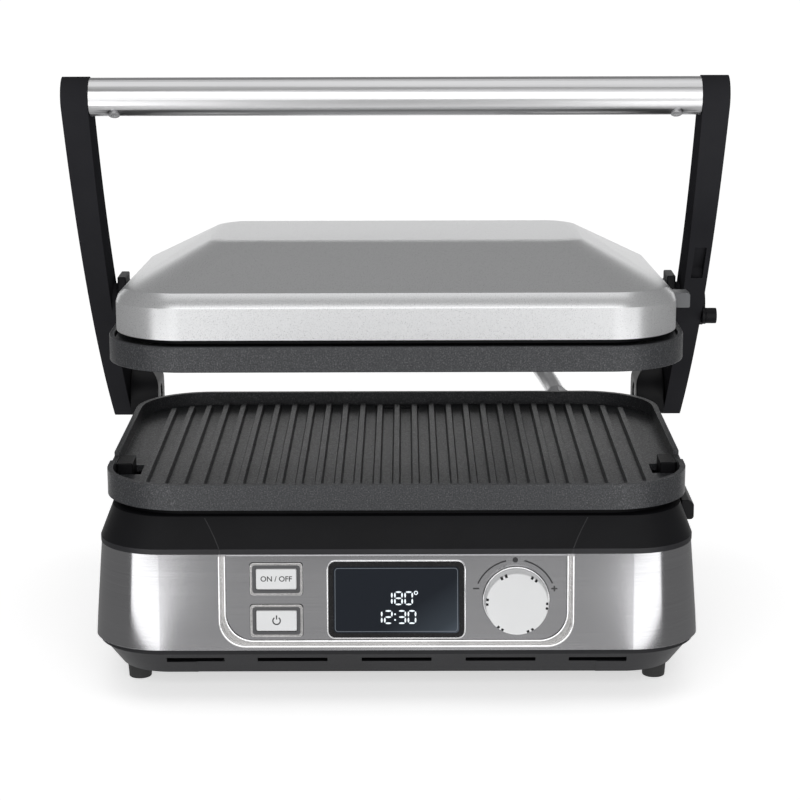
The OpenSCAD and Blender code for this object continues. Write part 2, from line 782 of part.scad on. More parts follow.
catch_reach = plate_w / 2 - 2;
lid_stem_out = lid_w / 2 - lid_t - 1;
module lower_clip() { clip(plate_z, clip_y, clip_out, catch_reach, 1); }
module upper_clip() { clip(upper_back, clip_y + lid_shift, lid_stem_out, lid_stem_out, -1); }
module lower_latch() { color("#18181a") lower_clip(); }
module upper_latch() { color("#18181a") upper_clip(); }
module lower_catch() { color("#18181a") mirror([1, 0, 0]) lower_clip(); }
module upper_catch() { color("#18181a") mirror([1, 0, 0]) upper_clip(); }

release_h = 11.4;
upper_release_h = 8.8;
button_half = clip_half + 14;
upper_button_half = clip_half - 4;
upper_button_y = clip_y + lid_shift - 3;
lower_release_z = plate_z - clip_drop - release_h + 1;
upper_release_z = upper_back + clip_drop + 3.6;

// Release button with a bevelled outer face
module release_button(z, y, x0, half, h, bevel) {
    translate([0, y + half, z]) rotate([90, 0, 0]) linear_extrude(2 * half) polygon([
        [x0, 0], [button_out - bevel / 2, 0], [button_out, bevel / 2], [button_out, h - bevel],
        [button_out - bevel, h], [x0, h]
    ]);
}
module lower_release_button() {
    color("#28292c") release_button(lower_release_z, clip_y, catch_reach, button_half, release_h, 2.4);
}
module upper_release_button() {
    color("#5b5d61") release_button(upper_release_z, upper_button_y, lid_stem_out, upper_button_half, upper_release_h, 1.2);
}

// ---------- arms and handle ----------

// Side outline of an arm: two bows that run tangent to the hinge boss and the handle end
lower = meet(handle, arm_bow - arm_end_r, hinge, arm_bow - hinge_r);
upper = meet(handle, arm_bow_in + arm_end_r, hinge, arm_bow_in + hinge_r);
module arm_outline() {
    difference() {
        intersection() {
            translate(lower) circle(arm_bow, $fn = 720);
            polygon([lower, lower + 1.2 * (hinge - lower), lower + 1.2 * (handle - lower)]);
        }
        translate(upper) circle(arm_bow_in, $fn = 720);
    }
    translate(hinge) circle(hinge_r);
    translate(handle) circle(arm_end_r);
}

// How far forward the arm reaches at height z
function arm_front(z) = lower[0] - sqrt(pow(arm_bow, 2) - pow(z - lower[1], 2));

// The inner face of an arm leans out toward the hinge
module arm_taper() {
    z0 = hinge[1] - hinge_r - 1;
    z1 = handle[1] + arm_end_r + 1;
    translate([0, base_d, 0]) rotate([90, 0, 0]) linear_extrude(2 * base_d)
        polygon([[arm_out - arm_t_low, z0], [arm_out, z0], [arm_out, z1], [arm_out - arm_t_top, z1]]);
}

// Arm with a round pad on its inner face where the lid turns
pad_r = 13;
pad_in = arm_out - arm_t_top - 0.6;
module arm() {
    difference() {
        union() {
            intersection() {
                across(arm_out - 2 * arm_t_top, arm_out) arm_outline();
                arm_taper();
            }
            rod_x(pivot, pad_in, arm_out - arm_t_low + 0.5, pad_r);
        }
        rod_x(hinge, arm_out - 20, arm_out - 3.8, pin_r + run);
        rod_x(pivot, pad_in - 1, arm_out - 3.8, pin_r + run);
        rod_x(handle, arm_out - 20, arm_out - 5, handle_dia / 2 - 3);
    }
}

module arm_left() { color("#1e1f21") mirror([1, 0, 0]) arm(); }
module arm_right() {
    color("#1e1f21") difference() {
        arm();
        arm_pocket();
    }
}

// Pocket in the front of the right arm over the lever, with a sloped roof and a flat sill
pocket_z = 211;
pocket_h = 12;
pocket_t = 3;
module arm_pocket() {
    deep = arm_front(pocket_z) + pocket_t;
    across(arm_out - 10, arm_out - 3) polygon([
        [deep - 20, pocket_z], [deep, pocket_z], [deep, pocket_z + pocket_h / 2], [deep - 20, pocket_z + 2 * pocket_h]
    ]);
}

tube_half = arm_out - arm_t_top;
tube_wall = 1.5;
screw_in = 14;
screw_turn = -35;
screw_head_r = 3.2;
dimple = 0.5;

// Local frame of a handle screw: z runs into the tube from its skin
module at_handle_screw() {
    translate([tube_half - screw_in, handle[0], handle[1]]) rotate([screw_turn, 0, 0])
        translate([0, 0, -handle_dia / 2]) children();
}

module handle_tube() {
    color("#d7d7d9") difference() {
        rod_x(handle, -tube_half, tube_half, handle_dia / 2);
        rod_x(handle, -tube_half - 1, tube_half + 1, handle_dia / 2 - tube_wall);
        both_sides() at_handle_screw() {
            translate([0, 0, -3]) cylinder(r = screw_head_r + 0.4, h = 3 + dimple);
            cylinder(r = 1.9, h = handle_dia / 2);
        }
    }
    color("#d7d7d9") both_sides() handle_plug();
}

// Plug that joins the tube to the arm and takes the screw
module handle_plug() {
    difference() {
        rod_x(handle, tube_half - 24, arm_out - 5.1, handle_dia / 2 - 3.05);
        at_handle_screw() cylinder(r = 1.7 + run, h = handle_dia / 2);
    }
}

module handle_screws() {
    color("#e2e2e4") both_sides() at_handle_screw() {
        cylinder(r = 1.7, h = 8);
        translate([0, 0, dimple - 1.7]) difference() {
            cylinder(r = screw_head_r, h = 1.68);
            for (a = [0, 90]) rotate(a) cube([3.4, 0.8, 1.6], center = true);
        }
    }
}

block_out = pad_in - slip;
module pivot_pins() {
    color("#b9bbbe") both_sides() rod_x(pivot, plate_w / 2 + 2, arm_out - 4, pin_r);
}

// Lever on the outside of the right arm that sets how high the lid stands
lever_arm = 11;
module height_lever() {
    dir = [-0.8, -0.6];
    color("#232427") {
        across(arm_out + slip, arm_out + slip + 2.2) {
            translate(pivot) circle(9);
            translate(pivot + 9 * [0.35, -1]) circle(5.5);
            translate(pivot + 5 * [0.2, -1]) circle(8);
            translate(pivot + lever_arm * dir) circle(5.2);
        }
        rod_x(pivot + lever_arm * dir, arm_out + slip + 2, arm_out + 9.2, 4.8);
    }
}

// ---------- lid ----------

upper_well_z = upper_back + 11;

// Outer form of the lid, shrunk by off: band that falls to the back, soft crease and faceted top
module lid_form(off) {
    soft = 8;
    hull() {
        slab(lid_w - 2 * off, lid_d - 2 * off, plate_r - 5 - off, lid_z, skin, lid_y);
        crease_slice(0, off, soft);
        crease_slice(1.5, off, soft / 2);
        crease_slice(5, off, 0);
        slab(lid_top_w + 12, lid_top_d + 12, 18, lid_top - 1.2 - off, skin, lid_y);
        slab(lid_top_w, lid_top_d, 12, lid_top - skin - off, skin, lid_y);
    }
}

// Slice of the lid on the falling crease: in from the outside by inset, down by drop
module crease_slice(inset, off, drop) {
    shrink = 2 * (inset + off);
    translate([0, lid_y - lid_d / 2, crease_z - drop - off]) rotate([-atan(crease_fall / lid_d), 0, 0])
        slab(lid_w - shrink, lid_d - shrink, plate_r - 5 - inset - off, 0, skin, lid_d / 2);
}

module lid_shell() {
    color("#d6d7d9") difference() {
        lid_form(0);
        translate([0, 0, -0.05]) lid_form(lid_t);
        upper_release_room();
        translate([socket_x, lid_y + lid_d / 2, socket_z])
            cube([socket_w + 2 * bite, 6 * lid_t, socket_h + 2 * bite], center = true);
    }
    color("#d6d7d9") for (p = lid_screw_at) translate([p[0], lid_y + p[1], upper_well_z + wall + 1])
        difference() {
            cylinder(r = 4.5, h = lid_top - lid_t + skin - upper_well_z - wall - 1);
            translate([0, 0, -1]) cylinder(r = 1.6 + run, h = 14);
        }
}

// Window in the right side of the lid for the release button
module upper_release_room() {
    span([lid_stem_out - 4, upper_button_y - upper_button_half - slip, upper_release_z - slip],
        [lid_w, upper_button_y + upper_button_half + slip, upper_release_z + upper_release_h + slip]);
}

lid_screw_x = lid_top_w / 2 - 15;
lid_screw_y = lid_top_d / 2 - 6;
lid_screw_at = [for (x = [-lid_screw_x, lid_screw_x], y = [-lid_screw_y, lid_screw_y]) [x, y]];

// Black pan that closes the lid from below and holds the heater over the plate
module lid_pan() {
    color("#1c1c1e") difference() {
        union() {
            slab(plate_w - 18, plate_d - 18, plate_r - 9, upper_back + bite, lid_reveal - bite, lid_y);
            slab(lid_w - 2 * lid_t - 2 * bite - 4, lid_d - 2 * lid_t - 2 * bite - 4, plate_r - 9 - lid_t, lid_z - 0.5, 4, lid_y);
            slab(well_w + 4, well_d + 4, well_r + 2, upper_back + 1, upper_well_z - upper_back - 1 + 2, lid_y);
        }
        slab(well_w, well_d, well_r, upper_back - 10, upper_well_z - upper_back + 10, lid_y);
        translate([0, lid_y, upper_well_z]) cylinder(r = probe_r + bite, h = 30, center = true);
        for (p = lid_screw_at) translate([p[0], lid_y + p[1], upper_well_z - 1]) cylinder(r = 1.6 + 3 * run, h = 8);
        translate([0, lid_y, 0]) heater_holes(upper_well_z);
        both_sides() translate([0, clip_y + lid_shift, 0])
            span([clip_in - clip_travel - slip, -clip_half - slip, upper_back - 5],
                [clip_out + 3, clip_half + slip, upper_back + 30]);
    }
}

lid_screw_len = 13;
module lid_screws() {
    color("#9a9ca0") for (p = lid_screw_at) translate([p[0], lid_y + p[1], upper_well_z - 1.2]) {
        cylinder(r = 1.6, h = lid_screw_len);
        cylinder(r = 3, h = 1.1);
    }
}

// Block on each side of the lid that turns on the arm's pin
block_r = 11;
block_up = 13;
module pivot_blocks() {
    color("#19191b") both_sides() difference() {
        union() {
            across(plate_w / 2 + 1, block_out) {
                translate(pivot) circle(block_r);
                translate([pivot[0] - block_r, pivot[1]]) square([2 * block_r, lid_z + block_up - pivot[1]]);
            }
            across(lid_w / 2 + 0.05, block_out)
                translate([pivot[0] - block_r, lid_z + 1]) square([2 * block_r, block_up / 2]);
        }
        rod_x(pivot, plate_w / 2 - 1, block_out + 1, pin_r + run);
    }
}

// ---------- conduit between base and lid ----------

socket_x = plate_w / 2 - 113;
socket_up = 9;
socket_z = lid_z + socket_up;
socket_w = 26;
socket_h = 10;
fork_t = 3;
swivel_pin_r = 3;
lead_r = 5.8;
swivel_back = 9;
swivel_y = lid_y + lid_d / 2 + swivel_back;
stub_len = 7;
gland_side = 58;
gland_at = [plate_w / 2 - gland_side, hinge[0] + 1, shoulder_top];
gland_rise = 3.3;
gland_way = unit([-0.06, 0.96, 0.29]);
collar_len = 9.5;
lead_from = gland_at + [0, 0, gland_rise] + collar_len * gland_way;
lead_to = [socket_x, swivel_y + stub_len + slip, socket_z];

// Fork at the back of the lid that carries the swivel
module conduit_socket() {
    color("#1c1c1e") translate([socket_x, 0, socket_z]) difference() {
        union() {
            translate([-socket_w / 2, lid_y + lid_d / 2 - lid_t - 3, -socket_h / 2]) cube([socket_w, lid_t + 5, socket_h]);
            for (sx = [-1, 1]) translate([sx * (socket_w - fork_t) / 2 - fork_t / 2, 0, 0]) {
                translate([0, swivel_y, 0]) rotate([0, 90, 0]) cylinder(r = socket_h / 2, h = fork_t);
                translate([0, swivel_y - swivel_back - 1, -socket_h / 2]) cube([fork_t, swivel_back + 1, socket_h]);
            }
        }
        translate([-socket_w, swivel_y, 0]) rotate([0, 90, 0]) cylinder(r = swivel_pin_r + run, h = 2 * socket_w);
        rotate([90, 0, 0]) cylinder(r = socket_h * 0.4, h = 2 * lid_d, center = true);
    }
}

module conduit_swivel() {
    color("#8e9094") translate([socket_x, swivel_y, socket_z]) {
        translate([-socket_w / 2, 0, 0]) rotate([0, 90, 0]) cylinder(r = swivel_pin_r, h = socket_w);
        translate([fork_t + slip - socket_w / 2, 0, 0]) rotate([0, 90, 0])
            cylinder(r = lead_r + 0.4, h = socket_w - 2 * (fork_t + slip));
        rotate([-90, 0, 0]) cylinder(r = lead_r + 1, h = stub_len);
    }
}

// Elbow that stands on the shoulder and points the lead up and back
module conduit_gland() {
    color("#8e9094") translate(gland_at) difference() {
        union() {
            cylinder(r = lead_r + 4, h = 2.2);
            translate([0, 0, gland_rise]) {
                sphere(lead_r + 2.2);
                along(gland_way) {
                    cylinder(r = lead_r + 1.4, h = collar_len - run);
                    cylinder(r = lead_r + 3, h = collar_len - 3, $fn = 6);
                }
            }
        }
        translate([0, 0, 0.05 - 40]) cylinder(r = 40, h = 40);
    }
}

// Flexible metal lead: two Bezier spans from the gland up and back, then forward into the swivel
lead_sides = 12;
lead_rings = 14;
lead_mid = gland_at + [-20.4, 57, 32.1];
lead_pull = [15.7, 27.2, 39, 44.6];
mid_way = unit([-0.35, 0.51, 0.79]);
lead_points = concat(
    [for (i = [0 : lead_rings])
        bezier(lead_from, lead_from + lead_pull[0] * gland_way, lead_mid - lead_pull[1] * mid_way, lead_mid, i / lead_rings)],
    [for (i = [1 : lead_rings])
        bezier(lead_mid, lead_mid + lead_pull[2] * mid_way, lead_to + [0, lead_pull[3], 0], lead_to, i / lead_rings)]
);

function unit(v) = v / norm(v);
function lead_way(i) =
    let (n = len(lead_points) - 1)
    i == 0 ? gland_way : i == n ? [0, -1, 0] : unit(lead_points[i + 1] - lead_points[i - 1]);
lead_side = [1, 0, 0];
function lead_ring(i) =
    let (w = lead_way(i), a = unit(lead_side - (lead_side * w) * w), b = cross(w, a))
    [for (k = [0 : lead_sides - 1]) lead_points[i] + lead_r * (cos(360 * k / lead_sides) * a + sin(360 * k / lead_sides) * b)];

module conduit() {
    n = len(lead_points);
    s = lead_sides;
    points = [for (i = [0 : n - 1]) each lead_ring(i)];
    walls = [for (i = [0 : n - 2], k = [0 : s - 1]) [i * s + k, (i + 1) * s + k, (i + 1) * s + (k + 1) % s, i * s + (k + 1) % s]];
    color("#a9abae") polyhedron(points, concat(walls, [[for (k = [0 : s - 1]) k], [for (k = [s - 1 : -1 : 0]) (n - 1) * s + k]]));
}

// ---------- drip tray ----------

module drip_tray() {
    y0 = drip_back - drip_d;
    color("#232326") {
        difference() {
            span([-drip_w / 2, y0, drip_z], [drip_w / 2, drip_back, drip_z + drip_h]);
            span([-drip_w / 2 + drip_t, y0 + drip_t, drip_z + drip_t], [drip_w / 2 - drip_t, drip_back - 3, drip_z + drip_h + 1]);
        }
        span([-26, drip_back - 0.1, drip_z + drip_h - 5], [26, drip_back + 8, drip_z + drip_h - 2]);
    }
}

base_tub();
feet();
stainless_band();
rear_panel();
drip_runners();
shoulder();
panel_face();
panel_border();
display_frame();
display_lens();
display_module();
button_frames();
knob_ring();
control_board();
tact_switches();
encoder();
power_board();
lower_reflector();
lower_heater();
lower_probe();
lower_catch();
hinge_tower_left();
hinge_tower_right();
hinge_pins();
base_screws();
cord_inlet();
conduit_gland();
conduit();
drip_tray();
lower_plate();
lower_latch();
lower_release_button();
upper_heat_button();
power_button();
control_knob();
arm_left();
arm_right();
handle_tube();
handle_screws();
pivot_pins();
height_lever();
lid_shell();
lid_pan();
pivot_blocks();
lid_screws();
upper_reflector();
upper_heater();
upper_probe();
upper_catch();
conduit_socket();
upper_plate();
upper_latch();
upper_release_button();
conduit_swivel();
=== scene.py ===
import json
import math

import bmesh
import bpy
from mathutils import Matrix, Vector
from mathutils.bvhtree import BVHTree


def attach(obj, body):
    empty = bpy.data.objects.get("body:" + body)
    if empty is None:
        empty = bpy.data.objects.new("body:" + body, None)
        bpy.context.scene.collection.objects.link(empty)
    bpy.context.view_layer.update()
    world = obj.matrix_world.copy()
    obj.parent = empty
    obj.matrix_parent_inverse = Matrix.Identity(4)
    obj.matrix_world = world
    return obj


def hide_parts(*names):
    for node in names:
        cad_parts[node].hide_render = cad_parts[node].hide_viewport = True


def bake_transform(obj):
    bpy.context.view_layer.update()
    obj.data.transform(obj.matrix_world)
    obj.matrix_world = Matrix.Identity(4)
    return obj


mm = 0.001
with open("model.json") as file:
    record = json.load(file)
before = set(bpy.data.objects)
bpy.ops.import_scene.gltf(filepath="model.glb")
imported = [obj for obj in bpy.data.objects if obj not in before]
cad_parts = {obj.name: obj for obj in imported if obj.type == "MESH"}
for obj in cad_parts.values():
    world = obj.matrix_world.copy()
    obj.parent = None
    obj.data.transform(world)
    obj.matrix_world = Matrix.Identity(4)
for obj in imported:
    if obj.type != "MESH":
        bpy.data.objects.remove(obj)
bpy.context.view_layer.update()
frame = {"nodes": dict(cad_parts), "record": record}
nodes = frame["nodes"]
slotOf = {part["node"]: part["material_slot"] for part in frame["record"]["subparts"]}
print("frame loaded", len(nodes), "nodes")


# Shader helpers
def newFinish(name, color, roughness, metallic=0.0, **sockets):
    finish = bpy.data.materials.new(name)
    finish.use_nodes = True
    shader = finish.node_tree.nodes["Principled BSDF"]
    shader.inputs["Base Color"].default_value = (*color, 1)
    shader.inputs["Roughness"].default_value = roughness
    shader.inputs["Metallic"].default_value = metallic
    for socket, value in sockets.items():
        shader.inputs[socket.replace("_", " ")].default_value = value
    return finish


def coords(finish, stretch=(1, 1, 1), centre=(0, 0, 0)):
    # Object coordinates, centred and stretched for one pattern
    tree = finish.node_tree
    source = tree.nodes.new("ShaderNodeTexCoord")
    shift = tree.nodes.new("ShaderNodeMapping")
    shift.vector_type = "TEXTURE"
    shift.inputs["Location"].default_value = centre
    shift.inputs["Scale"].default_value = [1 / s for s in stretch]
    tree.links.new(source.outputs["Object"], shift.inputs["Vector"])
    return shift.outputs["Vector"]


def noise(finish, vector, scale, detail=3.0, rough=0.55):
    tree = finish.node_tree
    pattern = tree.nodes.new("ShaderNodeTexNoise")
    pattern.inputs["Scale"].default_value = scale
    pattern.inputs["Detail"].default_value = detail
    pattern.inputs["Roughness"].default_value = rough
    tree.links.new(vector, pattern.inputs["Vector"])
    return pattern.outputs["Fac"]


def ramp(finish, value, stops, socket):
    # stops: position, and grey level or colour
    node = finish.node_tree.nodes.new("ShaderNodeValToRGB")
    elements = node.color_ramp.elements
    while len(elements) < len(stops):
        elements.new(0.5)
    for element, (position, tone) in zip(elements, stops):
        element.position = position
        element.color = (*tone, 1) if isinstance(tone, tuple) else (tone, tone, tone, 1)
    finish.node_tree.links.new(value, node.inputs["Fac"])
    feed(finish, node.outputs["Color"], socket)


def feed(finish, output, socket):
    shader = finish.node_tree.nodes["Principled BSDF"]
    finish.node_tree.links.new(output, shader.inputs[socket])


def relief(finish, height, strength, distance):
    node = finish.node_tree.nodes.new("ShaderNodeBump")
    node.inputs["Strength"].default_value = strength
    node.inputs["Distance"].default_value = distance
    finish.node_tree.links.new(height, node.inputs["Height"])
    feed(finish, node.outputs["Normal"], "Normal")


def mouldedPlastic(name, dark, light, roughness, grain=1800, depth=0.00004, gloss=0.5):
    # Spark-eroded plastic: slow tone changes, fine grain and slightly uneven gloss
    look = {
        "toneScale": 18, "toneDetail": 4, "grainDetail": 2,
        "glossier": 0.06, "duller": 0.07, "bump": 0.35,
    }
    finish = newFinish(name, light, roughness, Specular_IOR_Level=gloss)
    tone = noise(finish, coords(finish), look["toneScale"], look["toneDetail"])
    ramp(finish, tone, [(0.3, dark), (0.7, light)], "Base Color")
    fine = noise(finish, coords(finish), grain, look["grainDetail"])
    glossStops = [(0.3, roughness - look["glossier"]), (0.7, roughness + look["duller"])]
    ramp(finish, fine, glossStops, "Roughness")
    relief(finish, fine, look["bump"], depth)
    return finish


def brushedMetal(name, dark, light, roughness, stretch):
    # Long fine brush lines: colour and relief follow the same stretched noise
    look = {
        "lineRough": 0.7, "cloud": 6,
        "glossier": 0.03, "duller": 0.05, "bump": 0.18, "depth": 0.00002,
    }
    finish = newFinish(name, light, roughness, 1.0)
    lines = noise(finish, coords(finish, stretch), 1, 3, look["lineRough"])
    ramp(finish, lines, [(0.32, dark), (0.68, light)], "Base Color")
    cloud = noise(finish, coords(finish, [look["cloud"]] * 3), 1, 3)
    glossStops = [(0.3, roughness - look["glossier"]), (0.7, roughness + look["duller"])]
    ramp(finish, cloud, glossStops, "Roughness")
    relief(finish, lines, look["bump"], look["depth"])
    return finish


def plainMetal(name, dark, light, roughness, metallic=1.0):
    # Smooth metal with faint clouds and short scuffs
    look = {
        "cloud": 60, "scuff": 420, "scuffLength": 5,
        "glossier": 0.05, "duller": 0.08, "bump": 0.12, "depth": 0.00002,
    }
    finish = newFinish(name, light, roughness, metallic)
    cloud = noise(finish, coords(finish), look["cloud"], 4)
    ramp(finish, cloud, [(0.3, dark), (0.7, light)], "Base Color")
    scuff = noise(finish, coords(finish, (1, 1, look["scuffLength"])), look["scuff"], 3)
    glossStops = [(0.3, roughness - look["glossier"]), (0.7, roughness + look["duller"])]
    ramp(finish, scuff, glossStops, "Roughness")
    relief(finish, scuff, look["bump"], look["depth"])
    return finish


def nonStick(name):
    # Dark coat with a pale mineral fleck and an orange-peel skin
    look = {
        "fleckScale": 1300, "peelScale": 420, "bump": 0.3, "depth": 0.00008,
        "tones": [(0.36, (0.03, 0.031, 0.034)), (0.56, (0.052, 0.054, 0.058)), (0.72, (0.12, 0.12, 0.125))],
        "gloss": [(0.35, 0.5), (0.7, 0.33)],
    }
    finish = newFinish(name, look["tones"][1][1], 0.45, 0.1, Specular_IOR_Level=0.4)
    fine = noise(finish, coords(finish), look["fleckScale"], 2, 0.6)
    ramp(finish, fine, look["tones"], "Base Color")
    ramp(finish, fine, look["gloss"], "Roughness")
    peel = noise(finish, coords(finish), look["peelScale"], 3)
    relief(finish, peel, look["bump"], look["depth"])
    return finish


def metallicPaint(name):
    # Silver paint with aluminium flake under a thin clear coat
    look = {
        "flakeScale": 2600, "metallic": 0.7, "coat": 0.1, "coatRoughness": 0.12, "bump": 0.1, "depth": 0.00002,
        "tones": [(0.3, (0.66, 0.665, 0.675)), (0.7, (0.8, 0.805, 0.81))], "gloss": [(0.3, 0.26), (0.7, 0.36)],
    }
    coat = {"Coat_Weight": look["coat"], "Coat_Roughness": look["coatRoughness"]}
    finish = newFinish(name, (0.7, 0.71, 0.72), 0.3, look["metallic"], **coat)
    flake = noise(finish, coords(finish), look["flakeScale"], 2, 0.7)
    ramp(finish, flake, look["tones"], "Base Color")
    ramp(finish, flake, look["gloss"], "Roughness")
    relief(finish, flake, look["bump"], look["depth"])
    return finish


def screenPaintedSheen(name):
    # Painted reflection on the screen: near black at the upper left, blue grey at the lower right
    look = {
        "centre": (0.012, 0, 0.058), "stretch": (14, 1, 20),
        "tones": [(0.0, (0.012, 0.015, 0.021)), (0.45, (0.036, 0.045, 0.056)), (1.0, (0.12, 0.145, 0.18))],
    }
    finish = newFinish(name, (0.08, 0.1, 0.12), 0.3, Specular_IOR_Level=0.1)
    tree = finish.node_tree
    split = tree.nodes.new("ShaderNodeSeparateXYZ")
    tree.links.new(coords(finish, look["stretch"], look["centre"]), split.inputs["Vector"])
    across = tree.nodes.new("ShaderNodeMath")
    across.operation = "SUBTRACT"
    tree.links.new(split.outputs["X"], across.inputs[0])
    tree.links.new(split.outputs["Z"], across.inputs[1])
    ramp(finish, across.outputs["Value"], look["tones"], "Base Color")
    return finish


finishes = {
    "black_plastic": mouldedPlastic(
        "satinBlackPlastic", (0.0055, 0.0055, 0.0065), (0.0085, 0.0085, 0.01), 0.46, gloss=0.16),
    "gloss_black": mouldedPlastic(
        "glossBlackPlastic", (0.005, 0.005, 0.006), (0.008, 0.008, 0.009), 0.22, 900, 0.00001, 0.3),
    "rubber": mouldedPlastic("footRubber", (0.014, 0.014, 0.014), (0.024, 0.024, 0.024), 0.72, 1200, 0.00006),
    "stainless": brushedMetal(
        "brushedStainless", (0.43, 0.428, 0.44), (0.49, 0.488, 0.5), 0.11, (9, 9, 4200)),
    "bright_trim": plainMetal("brightTrim", (0.76, 0.76, 0.77), (0.86, 0.86, 0.87), 0.16),
    # The screen's diagonal gradient is a painted reflection
    "display_screen": screenPaintedSheen("displayScreen"),
    "white_cap": mouldedPlastic(
        "pearlWhiteCap", (0.7, 0.705, 0.71), (0.77, 0.775, 0.78), 0.34, 1500, 0.00001),
    "circuit_board": mouldedPlastic(
        "solderMask", (0.012, 0.09, 0.035), (0.02, 0.15, 0.06), 0.38, 700, 0.00003),
    "fastener": plainMetal("plainSteel", (0.42, 0.42, 0.43), (0.6, 0.6, 0.61), 0.32),
    "reflector_sheet": plainMetal("brightAluminium", (0.68, 0.68, 0.69), (0.8, 0.8, 0.81), 0.22),
    "heater_tube": plainMetal("oxidisedSheath", (0.11, 0.085, 0.07), (0.2, 0.16, 0.13), 0.45, 0.8),
    "nonstick": nonStick("flekedNonStick"),
    "lid_paint": metallicPaint("silverPaint"),
    "grey_plastic": mouldedPlastic("greyPlastic", (0.11, 0.113, 0.12), (0.15, 0.154, 0.16), 0.38),
    "lead_sleeve": plainMetal("leadSleeve", (0.56, 0.56, 0.57), (0.72, 0.72, 0.73), 0.34),
    "display_glass": newFinish(
        "displayGlass", (0.03, 0.04, 0.05), 0.08, 0, Alpha=0.1, Specular_IOR_Level=0.12),
}
handleBrush = brushedMetal("brushedTube", (0.62, 0.62, 0.63), (0.72, 0.72, 0.725), 0.3, (7, 3600, 3600))
tubBlack = mouldedPlastic("tubBlack", (0.011, 0.011, 0.0125), (0.016, 0.016, 0.018), 0.46, gloss=0.2)
armBlack = mouldedPlastic("armBlack", (0.023, 0.023, 0.026), (0.029, 0.029, 0.032), 0.55, gloss=0)
# Lighter copy of the black plastic: painted light on the upright lip under the shoulder
lipPaintedLight = mouldedPlastic("lipPaintedLight", (0.017, 0.017, 0.019), (0.023, 0.023, 0.026), 0.4, gloss=0.3)
borderTrim = plainMetal("borderTrim", (0.5, 0.495, 0.49), (0.6, 0.59, 0.585), 0.2)
markGrey = mouldedPlastic("printGrey", (0.02, 0.02, 0.022), (0.03, 0.03, 0.032), 0.5, 900, 0.000005)
channelGrey = mouldedPlastic("channelGrey", (0.055, 0.055, 0.058), (0.08, 0.08, 0.084), 0.4, 1200, 0.00001)
# Paler grey for the shoulder seams: a painted highlight along them
seamHighlightGrey = mouldedPlastic("seamHighlightGrey", (0.02, 0.02, 0.022), (0.03, 0.03, 0.032), 0.4, 1200, 0.00001)
# Grey for the thin ring round the screen pane: a painted highlight on its edge
paneHighlightGrey = mouldedPlastic("paneHighlightGrey", (0.1, 0.12, 0.14), (0.14, 0.16, 0.19), 0.4, 900, 0.00001)
litDigit = newFinish(
    "litDigit", (0.8, 0.86, 0.9), 0.4, 0, Emission_Strength=0.32, Emission_Color=(0.78, 0.88, 0.95, 1))
print("finishes made", len(bpy.data.materials))


# Soft edges and smooth shading on the solid nodes, widths in millimetres
edging = {"width": 0.25, "segments": 3, "angle": 28, "weld": 0.01, "flatAngle": 0.6}
softEdges = {
    "arm_left": 1.2, "arm_right": 1.2, "hinge_tower_left": 1.0, "hinge_tower_right": 1.0, "pivot_blocks": 0.8,
    "height_lever": 0.7, "handle_tube": 0.3, "handle_screws": 0.2, "lower_plate": 0.7, "upper_plate": 0.7,
    "shoulder": 0.8, "base_tub": 0.8, "stainless_band": 0.25, "panel_face": 0.25, "panel_border": 0.4,
    "display_frame": 0.6, "display_lens": 0.3, "button_frames": 0.4, "upper_heat_button": 0.7,
    "power_button": 0.7, "knob_ring": 0.5, "control_knob": 0.5, "lower_release_button": 0.8,
    "upper_release_button": 0.8, "lower_latch": 0.6, "upper_latch": 0.6, "lower_catch": 0.6,
    "upper_catch": 0.6, "lid_pan": 0.6, "rear_panel": 0.7, "drip_tray": 0.5, "conduit_socket": 0.5,
    "conduit_swivel": 0.4, "conduit_gland": 0.4, "cord_inlet": 0.5, "feet": 0.6, "lid_shell": 0.6,
}
ownFinish = {
    "base_tub": tubBlack, "arm_left": armBlack, "arm_right": armBlack,
    "panel_border": borderTrim, "button_frames": borderTrim,
}

for node, solid in nodes.items():
    solid.data.materials.clear()
    solid.data.materials.append(ownFinish.get(node, finishes[slotOf[node]]))
    solid.data.polygons.foreach_set("use_smooth", [True] * len(solid.data.polygons))
    weld = solid.modifiers.new("weld", "WELD")
    weld.merge_threshold = edging["weld"] * mm
    flat = solid.modifiers.new("flat", "DECIMATE")
    flat.decimate_type = "DISSOLVE"
    flat.angle_limit = math.radians(edging["flatAngle"])
    softened = solid.modifiers.new("round", "BEVEL")
    softened.limit_method = "ANGLE"
    softened.angle_limit = math.radians(edging["angle"])
    softened.width = softEdges.get(node, edging["width"]) * mm
    softened.segments = edging["segments"] if node in softEdges else 1
    softened.use_clamp_overlap = True
    even = solid.modifiers.new("even", "WEIGHTED_NORMAL")
    even.keep_sharp = True


def paintLightOnLip():
    # Painted light: the upright lip under the shoulder gets a lighter copy of the black plastic, for the light
    # that falls on it
    lip = {"low": 84.5, "high": 88.2, "upright": 0.2}
    shoulder = nodes["shoulder"]
    shoulder.data.materials.append(lipPaintedLight)
    for face in shoulder.data.polygons:
        height = (shoulder.matrix_world @ face.center).z
        if lip["low"] * mm < height < lip["high"] * mm and abs(face.normal.z) < lip["upright"]:
            face.material_index = 1


paintLightOnLip()
print("solid nodes finished")


# Pieces below are drawn in millimetres on the leaning front, unless unit says otherwise
base = {
    "depth": 306, "bandZ": 31, "bandHeight": 54, "bandLean": 4.5,
    "displayUp": 29, "controlX": 66, "buttonPitch": 23.4,
}
frontTurn = math.pi / 2 - math.atan2(base["bandLean"], base["bandHeight"])
frontCorner = Vector((0, -base["depth"] / 2, base["bandZ"])) * mm
frontFace = Matrix.Translation(frontCorner) @ Matrix.Rotation(frontTurn, 4, "X")
asDrawn = Matrix.Identity(4)


def onFront(x, up, out):
    # Place on the front: x to the right, up the face, out of it
    return frontFace @ Matrix.Translation((x * mm, up * mm, out * mm))


